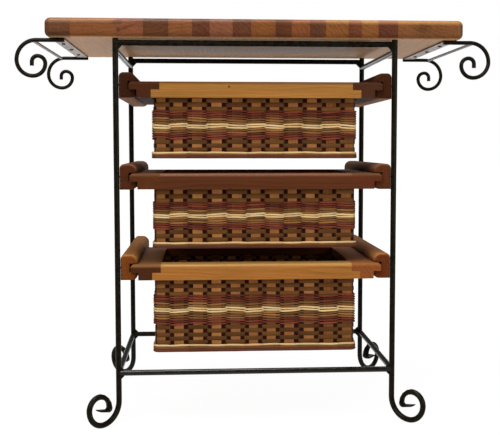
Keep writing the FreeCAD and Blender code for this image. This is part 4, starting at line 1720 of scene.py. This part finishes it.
@dataclass
class IronFrame:
    """Legs, bars, welds, towel bars and the fasteners."""

    BLACK = srgb(20, 16, 8)
    WORN = srgb(30, 25, 14)
    RUBBED_BARS = ("lower_front_bar", "upper_left_bar", "upper_right_bar")
    TOWEL_FINISHES = ("plate", "rod")

    def dress(self) -> None:
        """Paint the iron and the screws."""
        finishes = {
            "paint": IronFinish("black_iron", self.BLACK, self.WORN, roughness=0.26, specular=0.12),
            "shiny": IronFinish("rubbed_iron", self.BLACK, self.WORN, roughness=0.2, specular=0.6),
            # Towel plates and rods are black iron: their grey is a painted reflection of the bright floor,
            # and the plate's upright edges keep the black.
            "plate": IronFinish("plate_painted_reflection", srgb(160, 146, 138), srgb(190, 176, 166), roughness=0.35,
                                specular=0.3, edges=self.BLACK),
            "rod": IronFinish("rod_painted_reflection", srgb(92, 84, 79), srgb(114, 106, 101), roughness=0.3, specular=0.5),
            "steel": IronFinish("dark_screws", srgb(24, 20, 16), srgb(36, 32, 28), roughness=0.4,
                                specular=0.2, metallic=0.3),
        }
        made = {name: finish.material() for name, finish in finishes.items()}
        slots = {row["node"]: row["material_slot"] for row in frame["record"]["subparts"]}
        for name, node in frame["nodes"].items():
            towel_part = name.rpartition("_towel_")[2]
            if name in self.RUBBED_BARS:
                dress(node, made["shiny"])
            elif slots[name] == "black_iron":
                dress(node, made[towel_part if towel_part in self.TOWEL_FINISHES else "paint"])
            elif slots[name] == "screw_steel":
                dress(node, made["steel"])
        LOG.info("iron frame dressed")


@dataclass(frozen=True)
class DrawerWood:
    """Finishes of one drawer's rim and runners; a pair is for the left and the right side."""

    front: WoodFinish
    rails: tuple[Colour, Colour]
    # Painted light on the faces turned up of the side rails and of the runners.
    rail_top_light: tuple[Colour | None, Colour | None]
    runner: Colour
    runner_ends: tuple[Colour, Colour]
    runner_top: Colour | None = None
    runner_underside: Colour | None = None


@dataclass
class WoodenRails:
    """Drawer rims and the runners that they slide on."""

    DULL = {"roughness": 0.6, "specular": 0.03}
    DARK_DOT = Knot((-0.061, -0.24, 0.7545), (4.5 * MM, 20 * MM, 4.5 * MM), strength=0.9)
    # Rim tops: the gold one painted darker as painted shade under the top, the red and amber ones painted
    # lighter as painted light.
    GOLD = WoodFinish("upper_rim_front", srgb(164, 112, 54), GrainAxis.ACROSS, ring=5 * MM, contrast=0.4,
                      top_light_shade=srgb(106, 68, 34), knots=(DARK_DOT,), **DULL)
    RED = WoodFinish("middle_rim_front", srgb(91, 46, 18), GrainAxis.ACROSS, ring=7 * MM, coat=0.15,
                     top_light_shade=srgb(124, 78, 52))
    AMBER = WoodFinish("lower_rim_front", srgb(172, 109, 44), GrainAxis.ACROSS, ring=5 * MM, contrast=0.4,
                       coat=0.25, top_light_shade=srgb(182, 132, 68))
    BACK = WoodFinish("rim_back", srgb(94, 46, 24), GrainAxis.ACROSS, ring=7 * MM, **DULL)
    SIDE = WoodFinish("side", srgb(80, 44, 26), GrainAxis.DEEP, ring=7 * MM, **DULL)
    RUNNER_RING = 9 * MM
    # rail_top_light and runner_top are painted light on the faces turned up.
    DRAWERS = {
        "upper": DrawerWood(
            GOLD, rails=(srgb(72, 38, 21), srgb(77, 45, 29)), rail_top_light=(None, None), runner=srgb(84, 46, 27),
            runner_ends=(srgb(63, 33, 18), srgb(72, 38, 20)), runner_underside=srgb(160, 116, 88)),
        "middle": DrawerWood(
            RED, rails=(srgb(92, 50, 25), srgb(98, 49, 28)),
            rail_top_light=(srgb(104, 68, 44), srgb(104, 68, 44)), runner=srgb(98, 58, 34),
            runner_ends=(srgb(86, 45, 24), srgb(101, 53, 28)), runner_top=srgb(130, 88, 62)),
        "lower": DrawerWood(
            AMBER, rails=(srgb(78, 42, 24), srgb(142, 80, 40)),
            rail_top_light=(srgb(130, 88, 52), srgb(150, 92, 50)), runner=srgb(114, 72, 42),
            runner_ends=(srgb(132, 70, 26), srgb(114, 54, 25)), runner_top=srgb(170, 114, 64)),
    }

    def dress(self, grain: WoodGrain) -> None:
        """Finish rims and runners.

        Args:
            grain: The shared grain effect.
        """
        back_material = self.BACK.material(grain)
        for drawer, wood in self.DRAWERS.items():
            dress(frame["nodes"][f"{drawer}_front_rail"], wood.front.material(grain))
            dress(frame["nodes"][f"{drawer}_back_rail"], back_material)
            for index, hand in enumerate(("left", "right")):
                rail = replace(self.SIDE, name=f"{drawer}_{hand}_rim", colour=wood.rails[index],
                               top_light_shade=wood.rail_top_light[index])
                dress(frame["nodes"][f"{drawer}_{hand}_rail"], rail.material(grain))
                runner = replace(self.SIDE, name=f"{drawer}_{hand}_runner", colour=wood.runner,
                                 ring=self.RUNNER_RING, top_light_shade=wood.runner_top,
                                 underside=wood.runner_underside, end_grain=wood.runner_ends[index])
                dress(frame["nodes"][f"{drawer}_{hand}_runner"], runner.material(grain))
        LOG.info("rims and runners dressed")


def main() -> None:
    """Dress the island and set the studio."""
    logging.basicConfig(level=logging.INFO, format="%(name)s: %(message)s")
    grain = WoodGrain()
    WoodenTop().dress(grain)
    IronFrame().dress()
    WoodenRails().dress(grain)
    BasketDrawers().build()
    Studio().build()


if __name__ == "__main__":
    main()
